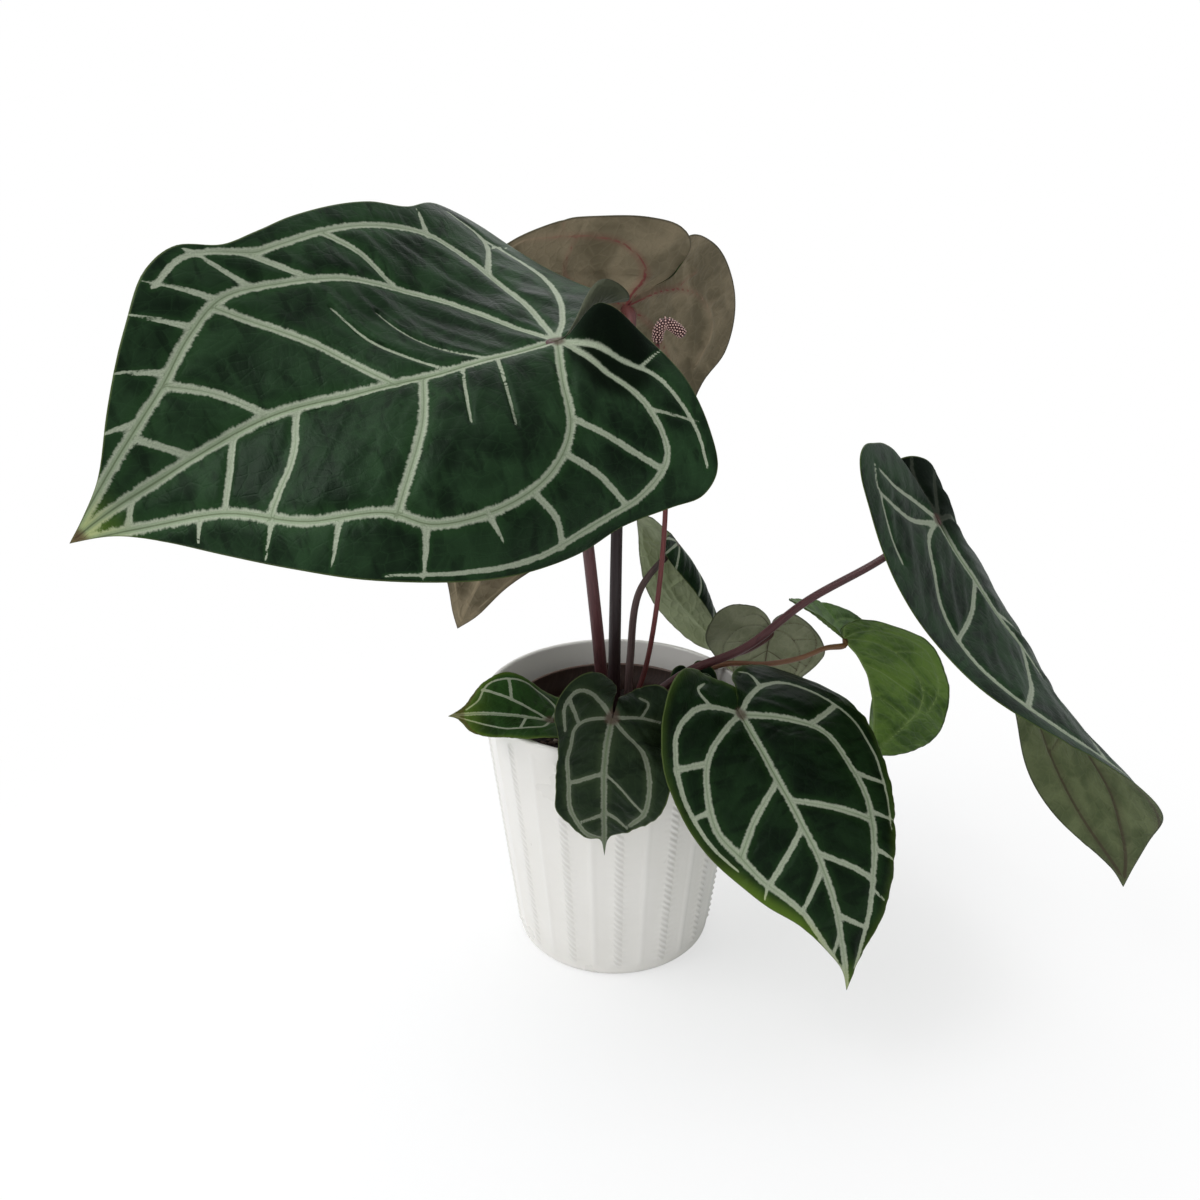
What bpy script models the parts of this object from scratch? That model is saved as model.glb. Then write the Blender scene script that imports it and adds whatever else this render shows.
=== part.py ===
"""Potted anthurium: a velvet-leaved plant in a brown nursery pot, inside a ribbed white glazed planter.

The origin is the centre of the planter's flat underside. X is the viewer's right, Y points away from the
viewer and Z is up. Every leaf is a heart-shaped outline, drawn flat in leaf lengths and then bent.
"""
import math

import bmesh
import bpy
import numpy as np

# ---------------------------------------------------------------- driving dimensions, in metres
GAP = 0.0003                    # clearance between pieces that touch
POT_HEIGHT = 0.152
POT_RIM_RADIUS = 0.074
POT_BASE_RADIUS = 0.056
POT_LIP = 0.0032                # thickness of the wall at the rim
POT_FLOOR = 0.009
RIB_PAIRS = 14                  # plain ridges, each followed by one rope moulding
RIB_RELIEF = 0.0009
RIB_BOTTOM = 0.008
RIB_TOP = POT_HEIGHT - 0.008

NURSERY_RIM_RADIUS = 0.060
NURSERY_TOP = POT_HEIGHT - 0.010
NURSERY_BASE_RADIUS = 0.044
NURSERY_WALL = 0.0012

MIX_TOP = 0.130
MIX_EDGE_TOP = 0.127
CROWN_RADIUS = 0.012
CROWN_TOP = 0.137

BLADE = 0.0010                  # thickness of a leaf blade
SEAT_ALLOWANCE = 0.0002         # room for the curve of the blade over the end of its stalk
TIP_RADIUS = 0.76               # radius of a leaf stalk where it meets the blade, as a share of its foot

# ---------------------------------------------------------------- leaves
# attach: where the stalk meets the blade. length: from there to the tip.
# heading, slope, roll: direction of the midrib in plan, its fall and its bank, in degrees, at four
# stations: behind the stalk, at the stalk, half way and at the tip.
# fold and curl: how each half leaves the midrib and how much it bends towards its margin, in degrees.
# left, right: the outline from tip to sinus as (along, across) in leaf lengths.
STATIONS = (-0.3, 0.0, 0.5, 1.0)
HALF_WIDTH = 0.45
PLAIN_HALF = [
    (0.93, 0.035), (0.85, 0.09), (0.70, 0.20), (0.50, 0.335), (0.30, 0.42), (0.10, 0.45),
    (-0.10, 0.42), (-0.25, 0.31), (-0.30, 0.19), (-0.26, 0.08), (-0.15, 0.02)]

LEAVES = {
    "leaf_large": dict(
        attach=(-0.0285, -0.038, 0.3528), length=0.239,
        heading=(190, 207, 194, 198), slope=(5, 10, 15, 38), roll=(-30, -23, -36, -70),
        fold_left=(-14, 0, 12, 0), curl_left=(-25, -90, -45, -20),
        fold_right=(-10, -12, 12, 40), curl_right=(-45, 24, 6, 0),
        left=[(0.93, 0.04), (0.86, 0.10), (0.76, 0.19), (0.63, 0.29), (0.50, 0.37), (0.36, 0.42),
              (0.20, 0.45), (0.09, 0.455), (0.0, 0.425), (-0.13, 0.40), (-0.22, 0.385), (-0.27, 0.34),
              (-0.27, 0.26), (-0.235, 0.14), (-0.17, 0.05), (-0.09, 0.01)],
        right=[(0.95, 0.02), (0.88, 0.06), (0.80, 0.15), (0.72, 0.26), (0.66, 0.35), (0.61, 0.385),
               (0.55, 0.38), (0.49, 0.41), (0.42, 0.45), (0.32, 0.485), (0.20, 0.505), (0.10, 0.505),
               (0.02, 0.54), (-0.05, 0.52), (-0.09, 0.45), (-0.12, 0.35), (-0.15, 0.24),
               (-0.18, 0.14), (-0.19, 0.07), (-0.14, 0.02), (-0.07, 0.004)]),
    "leaf_back": dict(
        attach=(0.0074, 0.105, 0.3500), length=0.225,
        heading=(190, 189, 193, 188), slope=(53, 57, 61, 66), roll=(58, 70, 80, 80),
        fold_left=(10, 18, 18, 10), curl_left=(-25, -15, -15, -15),
        fold_right=(13, 14, 7, 5), curl_right=(-20, -14, -18, -20),
        left=[(0.96, 0.03), (0.88, 0.08), (0.75, 0.19), (0.58, 0.29), (0.40, 0.36), (0.22, 0.385),
              (0.05, 0.36), (-0.05, 0.30), (-0.14, 0.215), (-0.21, 0.13), (-0.24, 0.06),
              (-0.22, 0.01), (-0.12, 0.004)],
        right=[(0.95, 0.04), (0.84, 0.09), (0.65, 0.22), (0.45, 0.32), (0.25, 0.38), (0.07, 0.38),
               (-0.04, 0.41), (-0.14, 0.39), (-0.21, 0.34), (-0.26, 0.25), (-0.27, 0.16), (-0.24, 0.06),
               (-0.12, 0.01)]),
    "leaf_right": dict(
        attach=(0.171, 0.003, 0.252), length=0.242,
        heading=(350, 345, 325, 395), slope=(55, 56, 48, 86), roll=(24, 30, 12, 18),
        fold_left=(35, -10, -32, -60), curl_left=(-110, -75, -60, -48),
        fold_right=(20, 12, 38, 55), curl_right=(-28, 10, -22, -14),
        left=[(0.95, 0.03), (0.83, 0.15), (0.70, 0.24), (0.55, 0.31), (0.38, 0.36), (0.20, 0.38),
              (0.06, 0.34), (-0.02, 0.25), (-0.06, 0.18), (-0.11, 0.13), (-0.145, 0.085), (-0.16, 0.045),
              (-0.15, 0.008), (-0.08, 0.003)],
        right=[(0.93, 0.02), (0.84, 0.06), (0.74, 0.14), (0.65, 0.20), (0.55, 0.27), (0.46, 0.32),
               (0.37, 0.34), (0.20, 0.34), (0.04, 0.345), (-0.08, 0.32), (-0.17, 0.29), (-0.235, 0.265),
               (-0.265, 0.23), (-0.27, 0.18), (-0.25, 0.12), (-0.22, 0.05), (-0.18, 0.006), (-0.09, 0.003)]),
    "leaf_front_right": dict(
        attach=(0.0638, -0.053, 0.1645), length=0.147,
        heading=(311, 301, 299, 291), slope=(17, 32, 40, 80), roll=(-18, -6, 6, -2),
        fold_left=(5, 10, 2, -2), curl_left=(-25, -25, -24, -20),
        fold_right=(30, 18, -8, 0), curl_right=(-12, -14, -27, -20),
        left=[(0.95, 0.03), (0.89, 0.08), (0.80, 0.17), (0.72, 0.24), (0.60, 0.32), (0.46, 0.41),
              (0.31, 0.48), (0.14, 0.54), (-0.01, 0.56), (-0.12, 0.51), (-0.20, 0.38), (-0.21, 0.22),
              (-0.17, 0.09), (-0.09, 0.01)],
        right=[(0.93, 0.01), (0.86, 0.05), (0.75, 0.13), (0.66, 0.21), (0.55, 0.27), (0.41, 0.33),
               (0.24, 0.38), (0.08, 0.41), (-0.06, 0.38), (-0.15, 0.28), (-0.17, 0.16), (-0.14, 0.06),
               (-0.07, 0.01)]),
    "leaf_front": dict(
        attach=(-0.0024, -0.073, 0.1728), length=0.078,
        heading=(260, 256, 265, 270), slope=(4, 27, 88, 100), roll=(-5, -6, 6, -6),
        fold_left=(20, -12, 10, 0), curl_left=(-20, -30, -18, -20),
        fold_right=(23, -9, 4, 8), curl_right=(-20, -36, -33, -18),
        left=[(0.86, 0.03), (0.80, 0.12), (0.73, 0.22), (0.64, 0.33), (0.52, 0.40), (0.30, 0.44),
              (0.08, 0.46), (-0.10, 0.44), (-0.24, 0.36), (-0.30, 0.24), (-0.26, 0.11), (-0.13, 0.02)],
        right=[(0.86, 0.03), (0.83, 0.12), (0.74, 0.24), (0.65, 0.31), (0.46, 0.33), (0.27, 0.34),
               (0.08, 0.40), (-0.08, 0.42), (-0.20, 0.35), (-0.31, 0.22), (-0.34, 0.11), (-0.26, 0.04),
               (-0.12, 0.01)]),
    "leaf_left": dict(
        attach=(-0.0345, -0.0395, 0.1535), length=0.0545,
        heading=(190, 183, 184, 186), slope=(-3, -10, -7, 7), roll=(-10, -6, -20, -17),
        fold_left=(15, 15, 9, -6), curl_left=(-20, -15, -15, -20),
        fold_right=(16, 9, 24, 0), curl_right=(-20, -15, -11, -20),
        left=[(0.93, 0.035), (0.88, 0.09), (0.79, 0.22), (0.62, 0.30), (0.40, 0.33), (0.20, 0.38),
              (0.02, 0.38), (-0.12, 0.33), (-0.20, 0.24), (-0.20, 0.14), (-0.14, 0.05), (-0.06, 0.01)],
        right=[(0.92, 0.04), (0.83, 0.11), (0.76, 0.23), (0.66, 0.35), (0.50, 0.46), (0.31, 0.48),
               (0.10, 0.47), (-0.06, 0.42), (-0.16, 0.32), (-0.19, 0.20), (-0.14, 0.07), (-0.06, 0.01)]),
    "leaf_folded": dict(
        attach=(0.0370, 0.055, 0.2215), length=0.100,
        heading=(40, 35, 40, 38), slope=(56, 50, 66, 62), roll=(10, 12, 0, 0),
        fold_left=(-2, -8, -12, -12), curl_left=(-20, -18, -18, -20),
        fold_right=(-25, -25, -25, -20), curl_right=(-190, -190, -190, -150),
        left=[(1.00, 0.08), (0.97, 0.18), (0.86, 0.30), (0.72, 0.37), (0.55, 0.42), (0.35, 0.455),
              (0.15, 0.44), (0.00, 0.38), (-0.12, 0.29), (-0.16, 0.18), (-0.12, 0.07), (-0.06, 0.01)],
        right=[(0.96, 0.02), (0.85, 0.05), (0.70, 0.09), (0.50, 0.125), (0.30, 0.145), (0.10, 0.15),
               (-0.06, 0.14), (-0.13, 0.10), (-0.12, 0.04), (-0.06, 0.01)]),
    "leaf_pale": dict(
        attach=(0.0945, 0.055, 0.1665), length=0.075,
        heading=(95, 95, 90, 90), slope=(62, 66, 72, 75), roll=(0, 0, 0, 0),
        fold_left=(0, 0, 0, 0), curl_left=(-20, -20, -20, -20),
        fold_right=(0, 0, 0, 0), curl_right=(-20, -20, -20, -20),
        left=[(0.90, 0.06), (0.70, 0.20), (0.50, 0.32), (0.29, 0.42), (0.10, 0.52), (-0.03, 0.57),
              (-0.20, 0.56), (-0.32, 0.50), (-0.36, 0.36), (-0.30, 0.20), (-0.20, 0.09), (-0.07, 0.01)],
        right=[(0.90, 0.06), (0.75, 0.17), (0.56, 0.30), (0.35, 0.43), (0.20, 0.47), (-0.02, 0.35),
               (-0.15, 0.20), (-0.18, 0.10), (-0.10, 0.01)]),
    "leaf_new": dict(
        attach=(0.1335, 0.032, 0.1705), length=0.126,
        heading=(38, 38, 56, 80), slope=(36, 42, 62, 72), roll=(-33, -33, -12, -8),
        fold_left=(35, 45, 85, 70), curl_left=(10, 20, 0, 0),
        fold_right=(-8, -5, -8, -6), curl_right=(-23, -24, -22, -21),
        left=[(0.93, 0.035), (0.80, 0.10), (0.65, 0.18), (0.45, 0.27), (0.25, 0.32), (0.05, 0.33),
              (-0.12, 0.28), (-0.24, 0.20), (-0.28, 0.11), (-0.20, 0.04), (-0.08, 0.01)],
        right=[(0.99, 0.09), (0.94, 0.18), (0.79, 0.28), (0.54, 0.37), (0.29, 0.42), (0.10, 0.425),
               (-0.06, 0.40), (-0.15, 0.30), (-0.175, 0.19), (-0.14, 0.09), (-0.07, 0.015)]),
    "leaf_shaded": dict(
        attach=(0.0450, 0.012, 0.1525), length=0.036,
        heading=(300, 300, 300, 300), slope=(60, 45, -8, -10), roll=(0, 0, 0, 0),
        fold_left=(10, 5, 0, 0), curl_left=(-20, -20, -20, -20),
        fold_right=(10, 5, 0, 0), curl_right=(-20, -20, -20, -20),
        left=PLAIN_HALF, right=PLAIN_HALF),
}

# foot: where the stalk leaves the crown or the mix. via: points on its way. radius: at the foot.
STALKS = {
    "leaf_large": dict(foot=(-0.0055, -0.0035), radius=0.0036, via=[(-0.0105, -0.010, 0.200),
                       (-0.0205, -0.018, 0.290)]),
    "leaf_back": dict(foot=(-0.0005, 0.0060), radius=0.0036, via=[(0.0000, 0.010, 0.190),
                      (0.0020, 0.034, 0.270)]),
    "leaf_right": dict(foot=(0.0085, 0.0010), radius=0.0026, via=[(0.0400, 0.004, 0.1615),
                       (0.0720, 0.004, 0.1765), (0.1050, 0.004, 0.2048), (0.1420, 0.002, 0.2290)]),
    "leaf_front_right": dict(foot=(0.0140, -0.0180), radius=0.0021, via=[(0.0380, -0.028, 0.1500),
                             (0.0540, -0.040, 0.1570)]),
    "leaf_front": dict(foot=(-0.0020, -0.0180), radius=0.0018, via=[(-0.0020, -0.040, 0.1500),
                       (-0.0020, -0.058, 0.1600)]),
    "leaf_left": dict(foot=(-0.0150, -0.0120), radius=0.0015, via=[(-0.0220, -0.028, 0.1440)]),
    "leaf_folded": dict(foot=(0.0078, 0.0090), radius=0.0024, via=[(0.0090, 0.018, 0.1650),
                        (0.0140, 0.030, 0.2000)]),
    "leaf_pale": dict(foot=(0.0200, 0.0120), radius=0.0016, via=[(0.0450, 0.032, 0.1490),
                      (0.0640, 0.037, 0.1560), (0.0790, 0.041, 0.1580)]),
    "leaf_new": dict(foot=(0.0230, 0.0030), radius=0.0019, via=[(0.0450, 0.026, 0.1450), (0.0620, 0.030, 0.1540),
                     (0.0890, 0.023, 0.1580), (0.1080, 0.024, 0.1615), (0.1225, 0.0275, 0.1660)]),
    "leaf_shaded": dict(foot=(0.0330, 0.0000), radius=0.0014, via=[(0.0390, 0.006, 0.1410)]),
}
CROWN_STALKS = ("leaf_large", "leaf_back", "leaf_right", "leaf_folded")

PEDUNCLE_FOOT = (0.0065, -0.0055)
PEDUNCLE_VIA = [(0.0175, -0.002, 0.170), (0.0265, 0.008, 0.250), (0.0240, 0.010, 0.310),
                (0.0206, 0.010, 0.3435)]
PEDUNCLE_RADIUS = 0.0015
SPADIX_PATH = [(0.0206, 0.010, 0.3440), (0.0216, 0.010, 0.3505), (0.0245, 0.010, 0.3540),
               (0.0290, 0.010, 0.3520), (0.0345, 0.010, 0.3475)]
SPADIX_RADIUS = 0.0031
BRACT_FOOT = (0.0240, -0.0070)
BRACT_VIA = [(0.0260, -0.0050, 0.1495)]
BRACT_RADIUS = 0.0038


# ---------------------------------------------------------------- curves and leaf surface
def through(points, per_span):
    """Smooth curve through hand-placed points, without overshoot where they are unevenly spaced."""
    pts = np.array(points, float)
    knots = np.cumsum([0, *np.sqrt(np.linalg.norm(np.diff(pts, axis=0), axis=1))])
    slope = np.gradient(pts, knots, axis=0)
    out = []
    for i in range(len(pts) - 1):
        h = knots[i + 1] - knots[i]
        for k in range(per_span):
            u = k / per_span
            out.append((2 * u ** 3 - 3 * u ** 2 + 1) * pts[i] + (u ** 3 - 2 * u ** 2 + u) * h * slope[i]
                       + (3 * u ** 2 - 2 * u ** 3) * pts[i + 1] + (u ** 3 - u ** 2) * h * slope[i + 1])
    out.append(pts[-1])
    return np.array(out)


def evenly(curve, count):
    """Resample a curve to points at equal distances along it."""
    steps = np.linalg.norm(np.diff(curve, axis=0), axis=1)
    along = np.concatenate([[0], np.cumsum(steps)])
    marks = np.linspace(0, along[-1], count)
    return np.stack([np.interp(marks, along, curve[:, k]) for k in range(curve.shape[1])], -1)


def station_value(values, s):
    """Smooth value between the leaf's four stations, constant beyond the ends."""
    st = np.array(STATIONS)
    v = np.array(values, float)
    s = np.clip(s, st[0], st[-1])
    slope = np.gradient(v, st)
    i = np.clip(np.searchsorted(st, s, side="right") - 1, 0, len(st) - 2)
    h = st[i + 1] - st[i]
    u = (s - st[i]) / h
    return ((2 * u ** 3 - 3 * u ** 2 + 1) * v[i] + (u ** 3 - 2 * u ** 2 + u) * h * slope[i]
            + (3 * u ** 2 - 2 * u ** 3) * v[i + 1] + (u ** 3 - u ** 2) * h * slope[i + 1])


class LeafSurface:
    """Maps (along, across) in leaf lengths to a point of the bent blade."""

    def __init__(self, leaf):
        self.leaf = leaf
        self.length = leaf["length"]
        self.grid = np.linspace(-0.6, 1.15, 90)
        tangent = self.frame(self.grid)[0]
        step = (self.grid[1] - self.grid[0]) * self.length
        path = np.zeros((len(self.grid), 3))
        path[1:] = np.cumsum((tangent[1:] + tangent[:-1]) / 2 * step, axis=0)
        start = [np.interp(0, self.grid, path[:, k]) for k in range(3)]
        self.path = path - start + np.array(leaf["attach"])

    def angle(self, name, s):
        return np.radians(station_value(self.leaf[name], s))

    def frame(self, s):
        """Midrib direction, the direction to the leaf's left, and its upper normal."""
        h, p, r = (self.angle(name, s) for name in ("heading", "slope", "roll"))
        tangent = np.stack([np.cos(h) * np.cos(p), np.sin(h) * np.cos(p), -np.sin(p)], -1)
        level = np.stack([-np.sin(h), np.cos(h), np.zeros_like(h)], -1)
        across = level * np.cos(r)[..., None] + np.cross(tangent, level) * np.sin(r)[..., None]
        return tangent, across, np.cross(tangent, across)

    def point(self, s, t):
        s, t = np.asarray(s, float), np.asarray(t, float)
        _, across, normal = self.frame(s)
        centre = np.stack([np.interp(s, self.grid, self.path[:, k]) for k in range(3)], -1)
        is_left = t >= 0
        fold = np.where(is_left, self.angle("fold_left", s), self.angle("fold_right", s))
        curl = np.where(is_left, self.angle("curl_left", s), self.angle("curl_right", s)) / HALF_WIDTH
        curl = np.where(np.abs(curl) < 1e-4, 1e-4, curl)
        end = fold + curl * np.abs(t)
        out = (np.sin(end) - np.sin(fold)) / curl * np.where(is_left, 1.0, -1.0) * self.length
        up = (np.cos(fold) - np.cos(end)) / curl * self.length
        return centre + across * out[..., None] + normal * up[..., None]

    def normal(self, s, t):
        e = 0.004
        ds = self.point(s + e, t) - self.point(s - e, t)
        dt = self.point(s, t + e) - self.point(s, t - e)
        n = np.cross(ds, dt)
        return n / np.linalg.norm(n, axis=-1, keepdims=True)


def leaf_outline(leaf, per_side):
    """Outline from the tip round the left lobe to the sinus and back by the right lobe."""
    left = through([(1, 0)] + list(leaf["left"]) + [(0, 0)], 6)
    right = through([(1, 0)] + [(s, -t) for s, t in leaf["right"]] + [(0, 0)], 6)
    left, right = evenly(left, per_side + 1), evenly(right, per_side + 1)
    return np.vstack([left[:-1], right[::-1][:-1]])


# ---------------------------------------------------------------- mesh helpers
def new_object(name, verts, faces, material):
    mesh = bpy.data.meshes.new(name)
    mesh.from_pydata([tuple(map(float, v)) for v in verts], [], faces)
    bm = bmesh.new()
    bm.from_mesh(mesh)
    bmesh.ops.recalc_face_normals(bm, faces=bm.faces)
    bm.to_mesh(mesh)
    bm.free()
    mesh.materials.append(material)
    obj = bpy.data.objects.new(name, mesh)
    bpy.context.collection.objects.link(obj)
    return obj


def make_material(name, colour, roughness, metallic=0.0):
    material = bpy.data.materials.new(name)
    material.use_nodes = True
    shader = material.node_tree.nodes["Principled BSDF"]
    shader.inputs["Base Color"].default_value = (*colour, 1.0)
    shader.inputs["Roughness"].default_value = roughness
    shader.inputs["Metallic"].default_value = metallic
    return material


def revolve(name, profile, segments, material, relief=None):
    """Closed solid of revolution; the profile starts and ends on the axis."""
    verts = [(0.0, 0.0, profile[0][1])]
    for r, z in profile[1:-1]:
        for k in range(segments):
            angle = 2 * math.pi * k / segments
            radius = r + (relief(k, r, z) if relief else 0.0)
            verts.append((radius * math.cos(angle), radius * math.sin(angle), z))
    verts.append((0.0, 0.0, profile[-1][1]))
    rows = len(profile) - 2
    last = len(verts) - 1
    faces = []
    for k in range(segments):
        n = (k + 1) % segments
        faces.append((0, 1 + n, 1 + k))
        top = 1 + (rows - 1) * segments
        faces.append((last, top + k, top + n))
        for row in range(rows - 1):
            a = 1 + row * segments
            b = a + segments
            faces.append((a + k, a + n, b + n, b + k))
    return new_object(name, verts, faces, material)


def rising(foot, foot_z, via, per_span=4):
    """Path that leaves its foot straight up, then runs smoothly through the points."""
    x, y = foot
    return np.vstack([(x, y, foot_z), through([(x, y, foot_z + 0.004)] + via, per_span)])


def tube(name, path, radii, sides, material):
    """Closed tube along a path, with flat ends."""
    path = np.array(path)
    tangents = np.gradient(path, axis=0)
    tangents /= np.linalg.norm(tangents, axis=1, keepdims=True)
    tangents[0] = (path[1] - path[0]) / np.linalg.norm(path[1] - path[0])
    side = np.cross(tangents[0], (0.3, 1.0, 0.2))
    verts, faces = [], []
    for centre, tangent, radius in zip(path, tangents, radii):
        side = side - tangent * np.dot(side, tangent)
        side /= np.linalg.norm(side)
        other = np.cross(tangent, side)
        for k in range(sides):
            a = 2 * math.pi * k / sides
            verts.append(centre + radius * (math.cos(a) * side + math.sin(a) * other))
    for ring in range(len(path) - 1):
        for k in range(sides):
            n = (k + 1) % sides
            a = ring * sides
            faces.append((a + k, a + n, a + sides + n, a + sides + k))
    faces.append(tuple(range(sides)))
    faces.append(tuple(range(len(verts) - sides, len(verts))))
    return new_object(name, verts, faces, material)


# ---------------------------------------------------------------- pot, nursery pot and mix
def pot_outer_radius(z):
    return POT_BASE_RADIUS + (POT_RIM_RADIUS - POT_BASE_RADIUS) * z / POT_HEIGHT


def make_planter():
    """Planter with a plain lip, and ridges and rope mouldings in turn round the wall."""
    def relief(k, r, z):
        on_wall = RIB_BOTTOM < z < RIB_TOP and abs(r - pot_outer_radius(z)) < 1e-6
        return RIB_RELIEF if on_wall and k % 4 == 0 else 0.0

    top = POT_HEIGHT
    profile = [(0, 0), (POT_BASE_RADIUS - 0.003, 0), (POT_BASE_RADIUS - 0.0006, 0.0012)]
    for z in (RIB_BOTTOM - 0.0005, RIB_BOTTOM + 0.001, 0.055, 0.100, RIB_TOP - 0.001, RIB_TOP + 0.0005):
        profile.append((pot_outer_radius(z), z))
    profile += [(POT_RIM_RADIUS, top - 0.0012), (POT_RIM_RADIUS - 0.001, top),
                (POT_RIM_RADIUS - POT_LIP + 0.001, top), (POT_RIM_RADIUS - POT_LIP, top - 0.0012)]
    for z in (0.100, 0.050, POT_FLOOR + 0.004):
        profile.append((pot_outer_radius(z) - POT_LIP - 0.0005, z))
    profile += [(POT_BASE_RADIUS - POT_LIP - 0.004, POT_FLOOR), (0, POT_FLOOR)]
    white = make_material("white_glaze", (0.80, 0.79, 0.77), 0.30)
    return revolve("planter", profile, RIB_PAIRS * 8, white, relief)


def nursery_radius(z):
    low, high = POT_FLOOR + GAP, NURSERY_TOP
    return NURSERY_BASE_RADIUS + (NURSERY_RIM_RADIUS - 0.002 - NURSERY_BASE_RADIUS) * (z - low) / (high - low)


def make_nursery_pot():
    low, top, rim = POT_FLOOR + GAP, NURSERY_TOP, NURSERY_RIM_RADIUS
    profile = [(0, low), (NURSERY_BASE_RADIUS, low), (nursery_radius(top - 0.008), top - 0.008),
               (rim - 0.0004, top - 0.0075), (rim, top - 0.0006), (rim - 0.0006, top),
               (rim - 0.0016, top), (nursery_radius(top - 0.010) - NURSERY_WALL, top - 0.010),
               (nursery_radius(low + NURSERY_WALL) - NURSERY_WALL, low + NURSERY_WALL),
               (0, low + NURSERY_WALL)]
    brown = make_material("brown_plastic", (0.055, 0.030, 0.022), 0.50)
    return revolve("nursery_pot", profile, 56, brown)


def make_mix():
    low = POT_FLOOR + 2 * GAP + NURSERY_WALL
    inset = NURSERY_WALL + GAP * 1.5
    profile = [(0, low), (nursery_radius(low) - inset, low),
               (nursery_radius(MIX_EDGE_TOP) - inset, MIX_EDGE_TOP), (0.046, MIX_EDGE_TOP + 0.0015),
               (0.034, MIX_TOP), (0, MIX_TOP)]
    return revolve("potting_mix", profile, 56, make_material("potting_mix", (0.012, 0.008, 0.006), 0.95))


def make_crown():
    low = MIX_TOP + GAP
    profile = [(0, low), (CROWN_RADIUS + 0.0015, low), (CROWN_RADIUS + 0.001, low + 0.004),
               (CROWN_RADIUS - 0.001, CROWN_TOP), (0, CROWN_TOP)]
    crown = revolve("crown", profile, 24, make_material("crown", (0.060, 0.035, 0.022), 0.8))
    crown.location = (0.002, 0.002, 0)
    return crown


# ---------------------------------------------------------------- leaves and stalks
def make_blade(name, leaf, per_side, rings, material):
    surface = LeafSurface(leaf)
    outline = leaf_outline(leaf, per_side)
    hub = np.array([0.25, 0.0])
    fractions = [(k / rings) ** 0.85 for k in range(1, rings + 1)]
    flat = np.vstack([hub] + [hub + (outline - hub) * f for f in fractions])
    s, t = flat[:, 0], flat[:, 1]
    points, normals = surface.point(s, t), surface.normal(s, t)
    upper, lower = points + normals * BLADE / 2, points - normals * BLADE / 2
    count, size = len(outline), len(flat)
    faces = []
    for k in range(count):
        n = (k + 1) % count
        faces.append((0, 1 + k, 1 + n))
        faces.append((size, size + 1 + n, size + 1 + k))
        for ring in range(rings - 1):
            a = 1 + ring * count
            b = a + count
            faces.append((a + k, b + k, b + n, a + n))
            faces.append((size + a + k, size + a + n, size + b + n, size + b + k))
        edge = 1 + (rings - 1) * count
        faces.append((edge + k, size + edge + k, size + edge + n, edge + n))
    return new_object(name, np.vstack([upper, lower]), faces, material)


def make_stalk(name, leaf, stalk, foot_z, material):
    """Leaf stalk from its foot to just under the blade, meeting it at a right angle."""
    surface = LeafSurface(leaf)
    zero = np.array([0.0])
    normal = surface.frame(zero)[2][0]
    tangent = surface.frame(zero)[0][0]
    tip_radius = stalk["radius"] * TIP_RADIUS
    under = surface.point(zero, zero)[0] + tangent * tip_radius
    around = np.linspace(0, 2 * math.pi, 24)
    reach = tip_radius * 1.15 / leaf["length"]
    rim = surface.point(reach * (1 + np.cos(around)), reach * np.sin(around))
    droop = max(0.0, -float(np.min((rim - under) @ normal)))
    end = under - normal * (BLADE / 2 + GAP + droop + SEAT_ALLOWANCE)
    path = rising(stalk["foot"], foot_z, stalk["via"] + [end - normal * 2 * stalk["radius"], end])
    share = np.linspace(0, 1, len(path))
    radii = stalk["radius"] * (1 - (1 - TIP_RADIUS) * share)
    return tube(name, path, radii, 8, material)


def make_leaves():
    colours = {"leaf_new": (0.10, 0.19, 0.035), "leaf_back": (0.045, 0.045, 0.030)}
    large = ("leaf_large", "leaf_back", "leaf_right", "leaf_front_right", "leaf_front")
    for name, leaf in LEAVES.items():
        green = make_material(name, colours.get(name, (0.012, 0.040, 0.018)), 0.55)
        per_side, rings = (20, 6) if name in large else (12, 4)
        make_blade(name, leaf, per_side, rings, green)
        foot_z = (CROWN_TOP if name in CROWN_STALKS else MIX_TOP) + GAP
        burgundy = make_material(name.replace("leaf", "stalk"), (0.050, 0.012, 0.014), 0.45)
        make_stalk(name.replace("leaf", "stalk"), leaf, STALKS[name], foot_z, burgundy)


def make_flower():
    curve = rising(PEDUNCLE_FOOT, CROWN_TOP + GAP, PEDUNCLE_VIA)
    red = make_material("peduncle", (0.16, 0.020, 0.018), 0.45)
    tube("peduncle", curve, np.full(len(curve), PEDUNCLE_RADIUS), 8, red)
    curve = through(SPADIX_PATH, 3)
    share = np.linspace(0, 1, len(curve))
    radii = SPADIX_RADIUS * np.sqrt(np.clip(1 - (2 * share - 1) ** 6, 0.15, 1))
    tube("spadix", curve, radii, 10, make_material("spadix", (0.16, 0.050, 0.050), 0.6))


def make_bract():
    """Dried sheath left standing beside the crown."""
    curve = rising(BRACT_FOOT, MIX_TOP + GAP, BRACT_VIA)
    pink = make_material("dry_bract", (0.30, 0.15, 0.12), 0.7)
    tube("dry_bract", curve, np.full(len(curve), BRACT_RADIUS), 10, pink)


def main():
    for obj in list(bpy.data.objects):
        bpy.data.objects.remove(obj, do_unlink=True)
    make_planter()
    make_nursery_pot()
    make_mix()
    make_crown()
    make_leaves()
    make_flower()
    make_bract()


main()
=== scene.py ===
"""Dressed scene of the potted anthurium: velvet leaves with pale veins, stalks, flower and ribbed planter.

Leaves are drawn flat in leaf lengths, as (along the midrib, across to the leaf's left), and then bent.
"""
import math

import bmesh
import bpy
import numpy as np
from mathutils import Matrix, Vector, noise


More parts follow.
